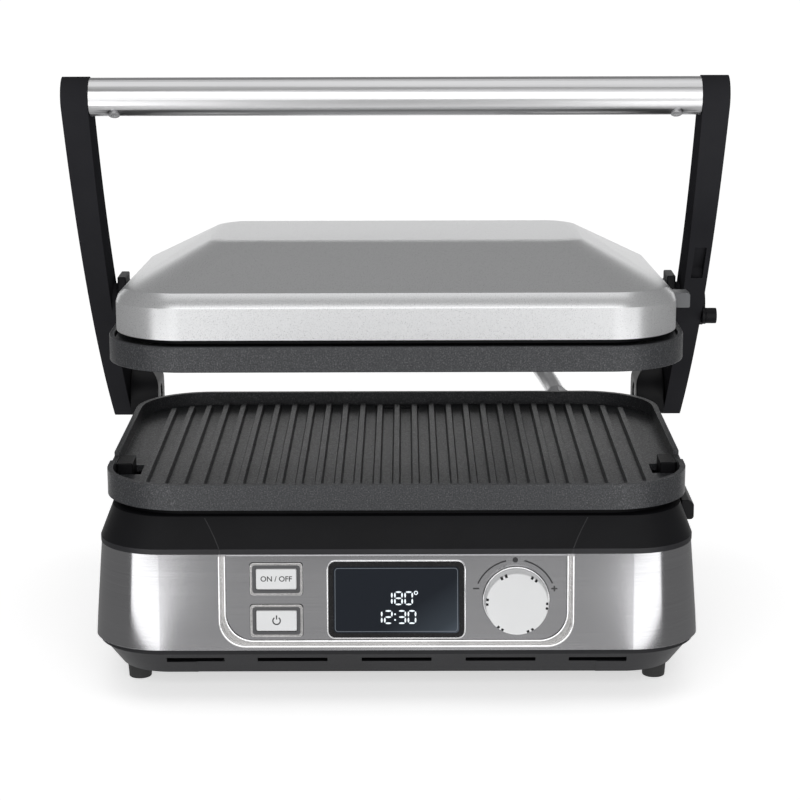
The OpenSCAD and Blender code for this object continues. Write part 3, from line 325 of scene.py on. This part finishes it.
def addObject(name, data):
    thing = bpy.data.objects.new(name, data)
    bpy.context.collection.objects.link(thing)
    return thing


def toMesh(name, bm, finish):
    mesh = bpy.data.meshes.new(name)
    bm.to_mesh(mesh)
    bm.free()
    mesh.materials.append(finish)
    return mesh


def makePiece(name, bm, place, body, finish, replaced=(), unit=mm):
    bm.transform(place @ Matrix.Scale(unit, 4))
    bmesh.ops.recalc_face_normals(bm, faces=bm.faces)
    piece = addObject(name, toMesh(name, bm, finish))
    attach(piece, body)
    if replaced:
        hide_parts(*replaced)
    return piece


def smoothSides(piece, limit=32):
    # Smooth shading that breaks at real edges
    piece.data.polygons.foreach_set("use_smooth", [True] * len(piece.data.polygons))
    piece.data.set_sharp_from_angle(angle=math.radians(limit))


def shiftNew(bm, before, vec):
    # Moves what was added after before was noted
    bmesh.ops.translate(bm, verts=[v for v in bm.verts if v not in before], vec=vec)


def raisePlate(bm, faces, height):
    # Gives flat faces a thickness along Z
    grown = bmesh.ops.extrude_face_region(bm, geom=faces)["geom"]
    corners = [v for v in grown if isinstance(v, bmesh.types.BMVert)]
    bmesh.ops.translate(bm, verts=corners, vec=(0, 0, height))


def softenFront(bm, level, offset, segments):
    # Bevels the edges that lie wholly above level
    front = [e for e in bm.edges if all(v.co.z > level for v in e.verts)]
    bmesh.ops.bevel(
        bm, geom=front, offset=offset, offset_type="OFFSET", segments=segments,
        profile=0.5, affect="EDGES", material=-1)


def addBar(bm, x, y, width, height):
    made = bmesh.ops.create_grid(bm, x_segments=1, y_segments=1, size=0.5)["verts"]
    bmesh.ops.scale(bm, verts=made, vec=(width, height, 1))
    bmesh.ops.translate(bm, verts=made, vec=(x, y, 0))
    return made


def addArc(bm, radius, width, first, last, steps=24):
    # Flat ring sector, angles in degrees from +X
    made = [bm.verts.new((radius + side * width / 2, 0, 0)) for side in (-1, 1)]
    edge = bm.edges.new(made)
    bmesh.ops.rotate(bm, verts=made, matrix=Matrix.Rotation(math.radians(first), 3, "Z"))
    bmesh.ops.spin(
        bm, geom=made + [edge], cent=(0, 0, 0), axis=(0, 0, 1),
        angle=math.radians(last - first), steps=steps, use_merge=last - first >= 360)


def addRounded(bm, width, height, radius, out):
    # Rounded rectangle, drawn as one flat face
    corners = addBar(bm, 0, 0, width, height)
    bmesh.ops.translate(bm, verts=corners, vec=(0, 0, out))
    arcs = bmesh.ops.bevel(
        bm, geom=corners, offset=radius, offset_type="OFFSET", segments=6,
        profile=0.5, affect="VERTICES", material=-1)
    return arcs["verts"][0].link_faces[0]


def addFrame(bm, inner, outer, low, high):
    # Rounded frame; inner and outer are width, height and corner radius
    faces = [addRounded(bm, *size, high) for size in (outer, inner)]
    rims = [edge for face in faces for edge in face.edges]
    bmesh.ops.delete(bm, geom=faces, context="FACES_ONLY")
    flatRing = bmesh.ops.bridge_loops(bm, edges=rims)["faces"]
    raisePlate(bm, flatRing, low - high)


def skin(bm, rows, closed=True, capped=True):
    # Bridges rows of vertices one after the other, and caps both ends
    for first, second in zip(rows, rows[1:]):
        pairs = []
        for row in (first, second):
            pairs += zip(row, row[1:] + row[:1]) if closed else zip(row, row[1:])
        rims = [bm.edges.get(pair) or bm.edges.new(pair) for pair in pairs]
        bmesh.ops.bridge_loops(bm, edges=rims)
    if capped:
        for row in (rows[0], rows[-1]):
            bm.faces.new(row)


def wayAt(points, k):
    # The way a path runs at its point k
    return (points[min(k + 1, len(points) - 1)] - points[max(k - 1, 0)]).normalized()


def makeHandle():
    # The bar again with merged vertices, so that its reflections run clean
    bar = {"merge": 0.01, "body": "arms"}
    solid = nodes["handle_tube"]
    bm = bmesh.new()
    bm.from_mesh(solid.data)
    bmesh.ops.remove_doubles(bm, verts=bm.verts, dist=bar["merge"] * mm)
    piece = makePiece(
        "handleBar", bm, solid.matrix_world, bar["body"], handleBrush,
        ("handle_tube",), unit=1)
    smoothSides(piece)


def makeBorderLines():
    # Two polished ridges that follow the panel's border
    ridge = {
        "runs": ((97.35, 2.65, 14.35), (94.25, 5.75, 15.4)),  # half width, bottom, corner radius
        "top": 53.2, "width": 0.9, "low": 1.9, "high": 2.16, "drop": 0.08,
        "crown": 0.75, "cornerSteps": 12,
    }
    shape = (
        (1, ridge["low"]), (ridge["crown"], ridge["high"] - ridge["drop"]), (0, ridge["high"]),
        (-ridge["crown"], ridge["high"] - ridge["drop"]), (-1, ridge["low"]),
    )
    bm = bmesh.new()
    for half, bottom, radius in ridge["runs"]:
        path = [Vector((-half, ridge["top"], 0))]
        for side, first in ((-1, 180), (1, 270)):
            for step in range(ridge["cornerSteps"] + 1):
                angle = math.radians(first + step * 90 / ridge["cornerSteps"])
                x = side * (half - radius) + radius * math.cos(angle)
                path.append(Vector((x, bottom + radius + radius * math.sin(angle), 0)))
        path.append(Vector((half, ridge["top"], 0)))
        rows = []
        for k, point in enumerate(path):
            way = wayAt(path, k)
            across = Vector((-way.y, way.x, 0)) * ridge["width"] / 2
            rows.append([bm.verts.new(point + across * s + Vector((0, 0, out))) for s, out in shape])
        skin(bm, rows)
    makePiece("borderLines", bm, onFront(0, 0, 0), "base", finishes["bright_trim"])


def makeScreenPane():
    # Smoked pane that nearly fills the black frame, with a painted highlight line round its edge
    pane = {
        "size": (69.2, 37.4, 2.2), "low": 1.6, "high": 2.6, "chamfer": 0.12,
        "lineInner": (67.0, 35.2, 1.5), "lineOuter": (67.7, 35.9, 1.8), "lineLow": 2.5, "lineHigh": 2.62,
    }
    place = onFront(0, base["displayUp"], 0)
    bm = bmesh.new()
    back = addRounded(bm, *pane["size"], pane["low"])
    raisePlate(bm, [back], pane["high"] - pane["low"])
    softenFront(bm, (pane["low"] + pane["high"]) / 2, pane["chamfer"], 1)
    makePiece(
        "screenPane", bm, place, "base", finishes["display_screen"], ("display_lens",))
    bm = bmesh.new()
    # Thin paler ring round the pane: painted highlight on its edge
    addFrame(bm, pane["lineInner"], pane["lineOuter"], pane["lineLow"], pane["lineHigh"])
    makePiece("paneEdgeHighlight", bm, place, "base", paneHighlightGrey)


makeHandle()
makeBorderLines()
makeScreenPane()
print("handle, border and screen made")

knob = {
    "radius": 17.2, "low": 1.4, "top": 13.4, "round": 0.9, "roundAt": (0, 0.4, 0.8, 1.2, math.pi / 2),
    "notch": 1.5, "notchDeep": 1.5, "notchHigh": 3.4, "arcStep": 3,
    # notchShadeWide and notchShadeBack size and set back the black blocks that paint shade in the notches
    "pairs": (176, 116, 56, -4, -64, -124), "spread": 4.6, "notchShadeWide": 1.04, "notchShadeBack": 0.25,
}


def knobRow(bm, out, inset, notched):
    # Circle, with a square notch at each grip mark where notched is 1
    half = math.degrees(knob["notch"] / 2 / knob["radius"])
    angles = sorted((pair + side * knob["spread"]) % 360 for pair in knob["pairs"] for side in (-1, 1))
    row = []
    for angle, following in zip(angles, angles[1:] + [angles[0] + 360]):
        first, last = angle + half, following - half
        steps = max(2, round((following - angle) / knob["arcStep"]))
        stops = [(angle - half, 0), (angle - half, 1), (first, 1), (first, 0)]
        stops += [(first + (last - first) * k / steps, 0) for k in range(1, steps)]
        for turn, deep in stops:
            cut = deep * notched
            radius = knob["radius"] - cut * knob["notchDeep"] - inset * (1 - cut)
            turn = math.radians(turn)
            row.append(bm.verts.new((radius * math.cos(turn), radius * math.sin(turn), out)))
    return row


def makeKnob():
    soft = knob["round"]
    ledge = knob["top"] - knob["notchHigh"]
    levels = [(knob["low"], 0, 0), (ledge, 0, 0), (ledge, 0, 1)]
    for a in knob["roundAt"]:
        levels.append((knob["top"] - soft + soft * math.sin(a), soft - soft * math.cos(a), 1))
    place = onFront(base["controlX"], base["displayUp"], 0)
    bm = bmesh.new()
    skin(bm, [knobRow(bm, *level) for level in levels])
    makePiece(
        "knobCap", bm, place, "control_knob", finishes["white_cap"], ("control_knob",))
    # Painted shade: black blocks set inside the notches, so that the notches look dark
    bm = bmesh.new()
    notchShadeSize = (knob["notchDeep"], knob["notch"] * knob["notchShadeWide"], knob["notchHigh"])
    notchShadeX = knob["radius"] - knob["notchDeep"] / 2 - knob["notchShadeBack"]
    notchShadeZ = knob["top"] - knob["notchHigh"] / 2 - knob["notchShadeBack"]
    for pair in knob["pairs"]:
        for side in (-1, 1):
            turn = Matrix.Rotation(math.radians(pair + side * knob["spread"]), 3, "Z")
            made = bmesh.ops.create_cube(bm, size=1)["verts"]
            bmesh.ops.scale(bm, verts=made, vec=notchShadeSize)
            bmesh.ops.translate(bm, verts=made, vec=(notchShadeX, 0, notchShadeZ))
            bmesh.ops.rotate(bm, verts=made, matrix=turn)
    makePiece("knobNotchShade", bm, place, "control_knob", finishes["black_plastic"])


def makeSeams():
    # Moulding seams that run down the black shoulder beside the panel; the seam shape is real, its paler grey
    # is a painted highlight
    seam = {
        "path": ((106.2, 101.6), (103.2, 97.5), (100.2, 93), (97.5, 88.3), (97.2, 87.5), (97.0, 85.3)),
        "width": 0.55, "proud": 0.1, "sunk": 0.3, "from": -400,
    }
    solid = nodes["shoulder"]
    corners = [solid.matrix_world @ v.co for v in solid.data.vertices]
    surface = BVHTree.FromPolygons(corners, [list(f.vertices) for f in solid.data.polygons])
    bm = bmesh.new()
    for side in (-1, 1):
        hits = []
        for x, z in seam["path"]:
            eye = Vector((side * x, seam["from"], z)) * mm
            hits.append(surface.ray_cast(eye, Vector((0, 1, 0)))[:2])
        rows = []
        for k, (point, normal) in enumerate(hits):
            way = wayAt([hit[0] for hit in hits], k)
            across = way.cross(normal).normalized() * seam["width"] / 2 * mm
            rise, fall = normal * seam["proud"] * mm, normal * seam["sunk"] * mm
            shape = (across - fall, across, rise, -across, -across - fall)
            rows.append([bm.verts.new(point + shift) for shift in shape])
        skin(bm, rows)
    makePiece("shoulderSeams", bm, asDrawn, "base", seamHighlightGrey, unit=1)


tubEnd = {
    "topZ": 30.6, "bottomZ": 11.9, "cornerSteps": 15, "proud": 0.12,
    "top": (169.0, 151.5, 40), "bottom": (157.5, 134.0, 30),  # half width, half depth, corner radius
    # from and to height, where the strip starts, and how thick it is above and below
    "strips": (
        (30.6, 24.3, 111.5, 2.2, 2.2), (24.3, 20.6, 128.2, 2.2, 4), (20.6, 11.9, 111.5, 4, 20),
    ),
}


def tubRow(bm, side, z, start, shrink):
    # Open line from the front, round both corners of one side, to the back
    t = (tubEnd["topZ"] - z) / (tubEnd["topZ"] - tubEnd["bottomZ"])
    halfW, halfD, radius = (a + (b - a) * t for a, b in zip(tubEnd["top"], tubEnd["bottom"]))
    grow = tubEnd["proud"] - shrink
    halfW, halfD, radius = halfW + grow, halfD + grow, radius - shrink
    line = [(start, -halfD)]
    for front, first in ((-1, -90), (1, 0)):
        for step in range(tubEnd["cornerSteps"] + 1):
            angle = math.radians(first + step * 90 / tubEnd["cornerSteps"])
            x = halfW - radius + radius * math.cos(angle)
            line.append((x, front * (halfD - radius) + radius * math.sin(angle)))
    line.append((start, halfD))
    return [bm.verts.new((side * x, y, z)) for x, y in line]


def makeTubEnds():
    # Lower corners of the tub, which run down to the feet and leave the vents open
    bm = bmesh.new()
    for side in (-1, 1):
        for high, low, start, thickHigh, thickLow in tubEnd["strips"]:
            levels = ((high, 0), (low, 0), (low, thickLow), (high, thickHigh))
            rows = [tubRow(bm, side, z, start, shrink) for z, shrink in levels]
            skin(bm, rows + rows[:1], closed=False, capped=False)
            for end in (0, -1):
                bm.faces.new([row[end] for row in rows])
    smoothSides(makePiece("tubEnds", bm, asDrawn, "base", tubBlack))


makeKnob()
makeSeams()
makeTubEnds()
print("knob, seams and tub corners made")

lead = {
    "radius": 5.8, "sides": 32, "steps": 40, "length": 0.1703, "pulls": (15.1, 26.0, 39.8, 41.8),
    "start": (106.432, 142.078, 108.342), "startWay": (-0.0597, 0.9554, 0.2886),
    "middle": (87.086, 189.7, 134.525), "middleWay": (-0.512, 0.51, 0.822), "end": (52, 141.8, 204.5),
}


def leadPath():
    # Two Bezier spans from the elbow on the shoulder to the swivel behind the lid
    start, middle, end = (Vector(lead[k]) for k in ("start", "middle", "end"))
    startWay, middleWay = (Vector(lead[k]).normalized() for k in ("startWay", "middleWay"))
    pulls = lead["pulls"]
    spans = (
        (start, start + pulls[0] * startWay, middle - pulls[1] * middleWay, middle),
        (middle, middle + pulls[2] * middleWay, end + Vector((0, pulls[3], 0)), end),
    )
    points = []
    for a, b, c, d in spans:
        for step in range(1 if points else 0, lead["steps"] + 1):
            t = step / lead["steps"]
            u = 1 - t
            points.append((u ** 3 * a + 3 * u * u * t * b + 3 * u * t * t * c + t ** 3 * d) * mm)
    return points


def makeLead():
    path = leadPath()
    bm = bmesh.new()
    rows = []
    for k, point in enumerate(path):
        way = wayAt(path, k)
        side = (Vector((1, 0, 0)) - way * way.x).normalized()
        turn = Matrix((side, way.cross(side), way)).transposed().to_4x4()
        ring = bmesh.ops.create_circle(
            bm, segments=lead["sides"], radius=lead["radius"] * mm, matrix=Matrix.Translation(point) @ turn)
        rows.append(ring["verts"])
    skin(bm, rows)
    for face in bm.faces:
        face.smooth = len(face.verts) == 4
    bmesh.ops.recalc_face_normals(bm, faces=bm.faces)
    tube = addObject("flexLead", toMesh("flexLead", bm, finishes["lead_sleeve"]))
    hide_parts("conduit")
    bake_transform(tube)


makeLead()
print("lead made")


def makeDisplayRing():
    # Bright ring round the black display frame
    ring = {"inner": (74.3, 42.3, 3.6), "outer": (76.3, 44.3, 4.6), "low": 1.0, "high": 2.1, "soft": 0.3}
    bm = bmesh.new()
    addFrame(bm, ring["inner"], ring["outer"], ring["low"], ring["high"])
    softenFront(bm, (ring["low"] + ring["high"]) / 2, ring["soft"], 2)
    place = onFront(0, base["displayUp"], 0)
    makePiece("displayRing", bm, place, "base", finishes["bright_trim"])


def makeButtonChannels():
    # Dark channel round each button cap
    channel = {"inner": (23.0, 12.2, 1.2), "outer": (26.4, 15.6, 1.6), "low": 1.8, "high": 2.24}
    bm = bmesh.new()
    for side in (-1, 1):
        before = set(bm.verts)
        addFrame(bm, channel["inner"], channel["outer"], channel["low"], channel["high"])
        up = base["displayUp"] + side * base["buttonPitch"] / 2
        shiftNew(bm, before, (-base["controlX"], up, 0))
    makePiece("buttonChannels", bm, onFront(0, 0, 0), "base", channelGrey)


def makeKnobMarks():
    # Arcs, dot, minus and plus printed round the knob
    marks = {
        "radius": 22.4, "line": 0.85, "arcs": ((103, 156), (24, 77)), "dot": 1.5, "dotSides": 24,
        "sign": 3.4, "signAt": (163.5, 16), "plusGap": 1.0, "plusStub": 1.0625,
        "shift": (-0.6, -0.3), "out": 1.22, "thick": 0.06,
    }
    bm = bmesh.new()
    for first, last in marks["arcs"]:
        addArc(bm, marks["radius"], marks["line"], first, last)
    dot = bmesh.ops.create_circle(bm, cap_ends=True, segments=marks["dotSides"], radius=marks["dot"])
    bmesh.ops.translate(bm, verts=dot["verts"], vec=(0, marks["radius"], 0))
    for angle in marks["signAt"]:
        x = marks["radius"] * math.cos(math.radians(angle))
        y = marks["radius"] * math.sin(math.radians(angle))
        addBar(bm, x, y, marks["sign"], marks["line"])
        if x > 0:
            for side in (-1, 1):
                addBar(bm, x, y + side * marks["plusGap"], marks["line"], marks["plusStub"])
    raisePlate(bm, bm.faces[:], marks["thick"])
    place = onFront(base["controlX"] + marks["shift"][0], base["displayUp"] + marks["shift"][1], marks["out"])
    makePiece("knobMarks", bm, place, "base", markGrey)


def makePowerSign():
    sign = {
        "radius": 2.05, "line": 0.7, "from": 125, "to": 415, "steps": 32,
        "stroke": 2.3, "strokeUp": 1.9, "out": 2.07, "thick": 0.06,
    }
    bm = bmesh.new()
    addArc(bm, sign["radius"], sign["line"], sign["from"], sign["to"], sign["steps"])
    addBar(bm, 0, sign["strokeUp"], sign["line"], sign["stroke"])
    raisePlate(bm, bm.faces[:], sign["thick"])
    place = onFront(-base["controlX"], base["displayUp"] - base["buttonPitch"] / 2, sign["out"])
    makePiece("powerSign", bm, place, "power_button", markGrey)


def makeSwitchWords():
    words = {"text": "ON / OFF", "size": 4.15, "weight": 0.06, "thick": 0.03, "out": 2.09}
    curve = bpy.data.curves.new("switchWords", "FONT")
    curve.body = words["text"]
    curve.size = words["size"] * mm
    curve.offset = words["weight"] * mm
    curve.extrude = words["thick"] * mm
    curve.align_x = curve.align_y = "CENTER"
    draft = addObject("switchWordsDraft", curve)
    bpy.context.view_layer.update()
    bm = bmesh.new()
    bm.from_mesh(draft.to_mesh())
    bpy.data.objects.remove(draft)
    place = onFront(-base["controlX"], base["displayUp"] + base["buttonPitch"] / 2, words["out"])
    makePiece("switchWords", bm, place, "upper_heat_button", markGrey, unit=1)


digits = {
    "width": 3.9, "height": 6.9, "pitch": 5.6, "line": 0.9, "plump": 1.15, "out": 2.62, "thick": 0.05,
    "rows": (("180°", -4.4, 1.0), ("12:30", -10.0, -9.6)),  # text, left and up
    "colonWide": 1.8, "colonUp": 1.6, "degree": (0.9, 0.5), "degreeAt": (-1.6, 3.0),
    "lit": {"0": "abcdef", "1": "bc", "2": "abged", "3": "abgcd", "8": "abcdefg"},
    # segment: half widths to the right, half heights up, upright or not
    "segments": {
        "a": (0, 1, 0), "b": (1, 0.5, 1), "c": (1, -0.5, 1), "d": (0, -1, 0),
        "e": (-1, -0.5, 1), "f": (-1, 0.5, 1), "g": (0, 0, 0),
    },
}


def addDigit(bm, digit, x, y):
    halfW, halfH, line = digits["width"] / 2, digits["height"] / 2, digits["line"]
    for name in digits["lit"][digit]:
        right, up, standing = digits["segments"][name]
        length = (halfH if standing else 2 * halfW) - line / 2
        made = bmesh.ops.create_circle(bm, cap_ends=True, segments=6, radius=0.5)["verts"]
        bmesh.ops.scale(bm, verts=made, vec=(length, line * digits["plump"], 1))
        if standing:
            bmesh.ops.rotate(bm, verts=made, matrix=Matrix.Rotation(math.pi / 2, 3, "Z"))
        bmesh.ops.translate(bm, verts=made, vec=(x + right * halfW, y + up * halfH, 0))


def makeDigits():
    # Made-up temperature and time
    bm = bmesh.new()
    for text, x, up in digits["rows"]:
        for sign in text:
            if sign == ":":
                for side in (-1, 1):
                    middle = x + (digits["colonWide"] - digits["pitch"]) / 2
                    addBar(bm, middle, up + side * digits["colonUp"], digits["line"], digits["line"])
                x += digits["colonWide"]
            elif sign == "°":
                before = set(bm.verts)
                addArc(bm, *digits["degree"], 0, 360, 16)
                shiftNew(bm, before, (x + digits["degreeAt"][0], up + digits["degreeAt"][1], 0))
            else:
                addDigit(bm, sign, x, up)
                x += digits["pitch"]
    raisePlate(bm, bm.faces[:], digits["thick"])
    place = onFront(0, base["displayUp"], digits["out"])
    makePiece("displayDigits", bm, place, "base", litDigit)


makeDisplayRing()
makeButtonChannels()
makeKnobMarks()
makePowerSign()
makeSwitchWords()
makeDigits()
print("panel marks made")


# Floor, light and camera, in metres
def makeFloor():
    ground = {"radius": 0.62, "back": 0.3, "grey": 0.86, "spread": 0.01, "glow": 0.6}
    bm = bmesh.new()
    bmesh.ops.create_circle(bm, cap_ends=True, segments=128, radius=ground["radius"])
    bmesh.ops.translate(bm, verts=bm.verts, vec=(0, ground["back"], 0))
    glow = {"Emission_Strength": ground["glow"], "Emission_Color": (1, 1, 1, 1)}
    finish = newFinish("paleFloor", (ground["grey"],) * 3, 0.6, 0, **glow)
    stops = [(0.3, ground["grey"] - ground["spread"]), (0.7, ground["grey"] + ground["spread"])]
    ramp(finish, noise(finish, coords(finish), 3, 2), stops, "Base Color")
    addObject("floor", toMesh("floor", bm, finish))


# Glowing cards that only reflections show; the two dusks lie on the floor and throw no shadow
cards = {
    "greyCard": {"glow": 0.5, "corners": ((-0.146, -0.32), (-0.2, -0.85), (0.2, -0.85), (0.146, -0.32))},
    "leftCard": {
        "glow": 2.4,
        "corners": ((-0.4, -0.32), (-1.0, -0.72), (-1.0, -0.85), (-0.202, -0.85), (-0.148, -0.32)),
    },
    "rightCard": {
        "glow": 2.4, "corners": ((0.148, -0.32), (0.202, -0.85), (1.0, -0.85), (1.0, -0.72), (0.4, -0.32)),
    },
    "leftDusk": {
        "glow": 0.22, "z": 0.001, "corners": ((-0.21, -0.3), (-0.21, 0.16), (-0.7, 0.3), (-0.7, -0.3)),
    },
    "rightDusk": {
        "glow": 0.22, "z": 0.001, "corners": ((0.21, -0.3), (0.7, -0.3), (0.7, 0.3), (0.21, 0.16)),
    },
}


def makeCard(name, glow, corners, z=0.0):
    bm = bmesh.new()
    bm.faces.new([bm.verts.new((x, y, z)) for x, y in corners])
    light = {"Emission_Strength": glow, "Emission_Color": (1, 1, 1, 1), "Specular_IOR_Level": 0}
    card = addObject(name, toMesh(name, bm, newFinish(name, (0, 0, 0), 1, 0, **light)))
    card.visible_camera = False
    card.visible_shadow = card.visible_diffuse = z == 0


lights = {
    "overhead": {"place": (0, -0.1, 2.2), "target": (0, 0, 0), "size": (2.4, 2.0), "power": 13},
    "frontSoftbox": {"place": (0, -2.0, 0.75), "target": (0, 0, 0.3), "size": (2.2, 1.6), "power": 20},
    "backSoftbox": {"place": (0, 2.6, 0.5), "target": (0, 0, 0.3), "size": (4.0, 1.2), "power": 12},
}


def makeLight(name, place, target, size, power):
    lamp = bpy.data.lights.new(name, "AREA")
    lamp.shape = "RECTANGLE"
    lamp.size, lamp.size_y = size
    lamp.energy = power
    holder = addObject(name, lamp)
    holder.location = place
    holder.rotation_euler = (Vector(target) - Vector(place)).to_track_quat("-Z", "Y").to_euler()


def makeStudio():
    # White to the camera, grey to the metals, so that they keep their tone
    room = {"grey": 0.22, "white": 1.3}
    world = bpy.data.worlds.new("studio")
    bpy.context.scene.world = world
    world.use_nodes = True
    tree = world.node_tree
    grey = tree.nodes["Background"]
    grey.inputs["Color"].default_value = (1, 1, 1, 1)
    grey.inputs["Strength"].default_value = room["grey"]
    white = tree.nodes.new("ShaderNodeBackground")
    white.inputs["Strength"].default_value = room["white"]
    path = tree.nodes.new("ShaderNodeLightPath")
    choose = tree.nodes.new("ShaderNodeMixShader")
    tree.links.new(path.outputs["Is Camera Ray"], choose.inputs["Fac"])
    tree.links.new(grey.outputs["Background"], choose.inputs[1])
    tree.links.new(white.outputs["Background"], choose.inputs[2])
    tree.links.new(choose.outputs["Shader"], tree.nodes["World Output"].inputs["Surface"])
    bpy.context.scene.view_settings.view_transform = "Standard"


def makeCamera():
    # Place in millimetres, turns in degrees, focal length in pixels of an 800-pixel frame
    view = {
        "place": (5.027, -1361.78, 451.607), "yaw": -0.126, "pitch": 12.982, "roll": 0.174,
        "focal": 2301.57, "frameWidth": 800, "sensor": 36, "far": 50,
    }
    camera = addObject("camera", bpy.data.cameras.new("camera"))
    camera.data.sensor_width = view["sensor"]
    camera.data.lens = view["focal"] / view["frameWidth"] * view["sensor"]
    camera.data.clip_end = view["far"]
    yaw, pitch, roll = (math.radians(view[k]) for k in ("yaw", "pitch", "roll"))
    turn = Matrix.Rotation(-yaw, 4, "Z") @ Matrix.Rotation(math.pi / 2 - pitch, 4, "X")
    turn = turn @ Matrix.Rotation(-roll, 4, "Z")
    camera.matrix_world = Matrix.Translation(Vector(view["place"]) * mm) @ turn
    bpy.context.scene.camera = camera


makeFloor()
for name, card in cards.items():
    makeCard(name, **card)
for name, light in lights.items():
    makeLight(name, **light)
makeStudio()
makeCamera()
print("studio ready")
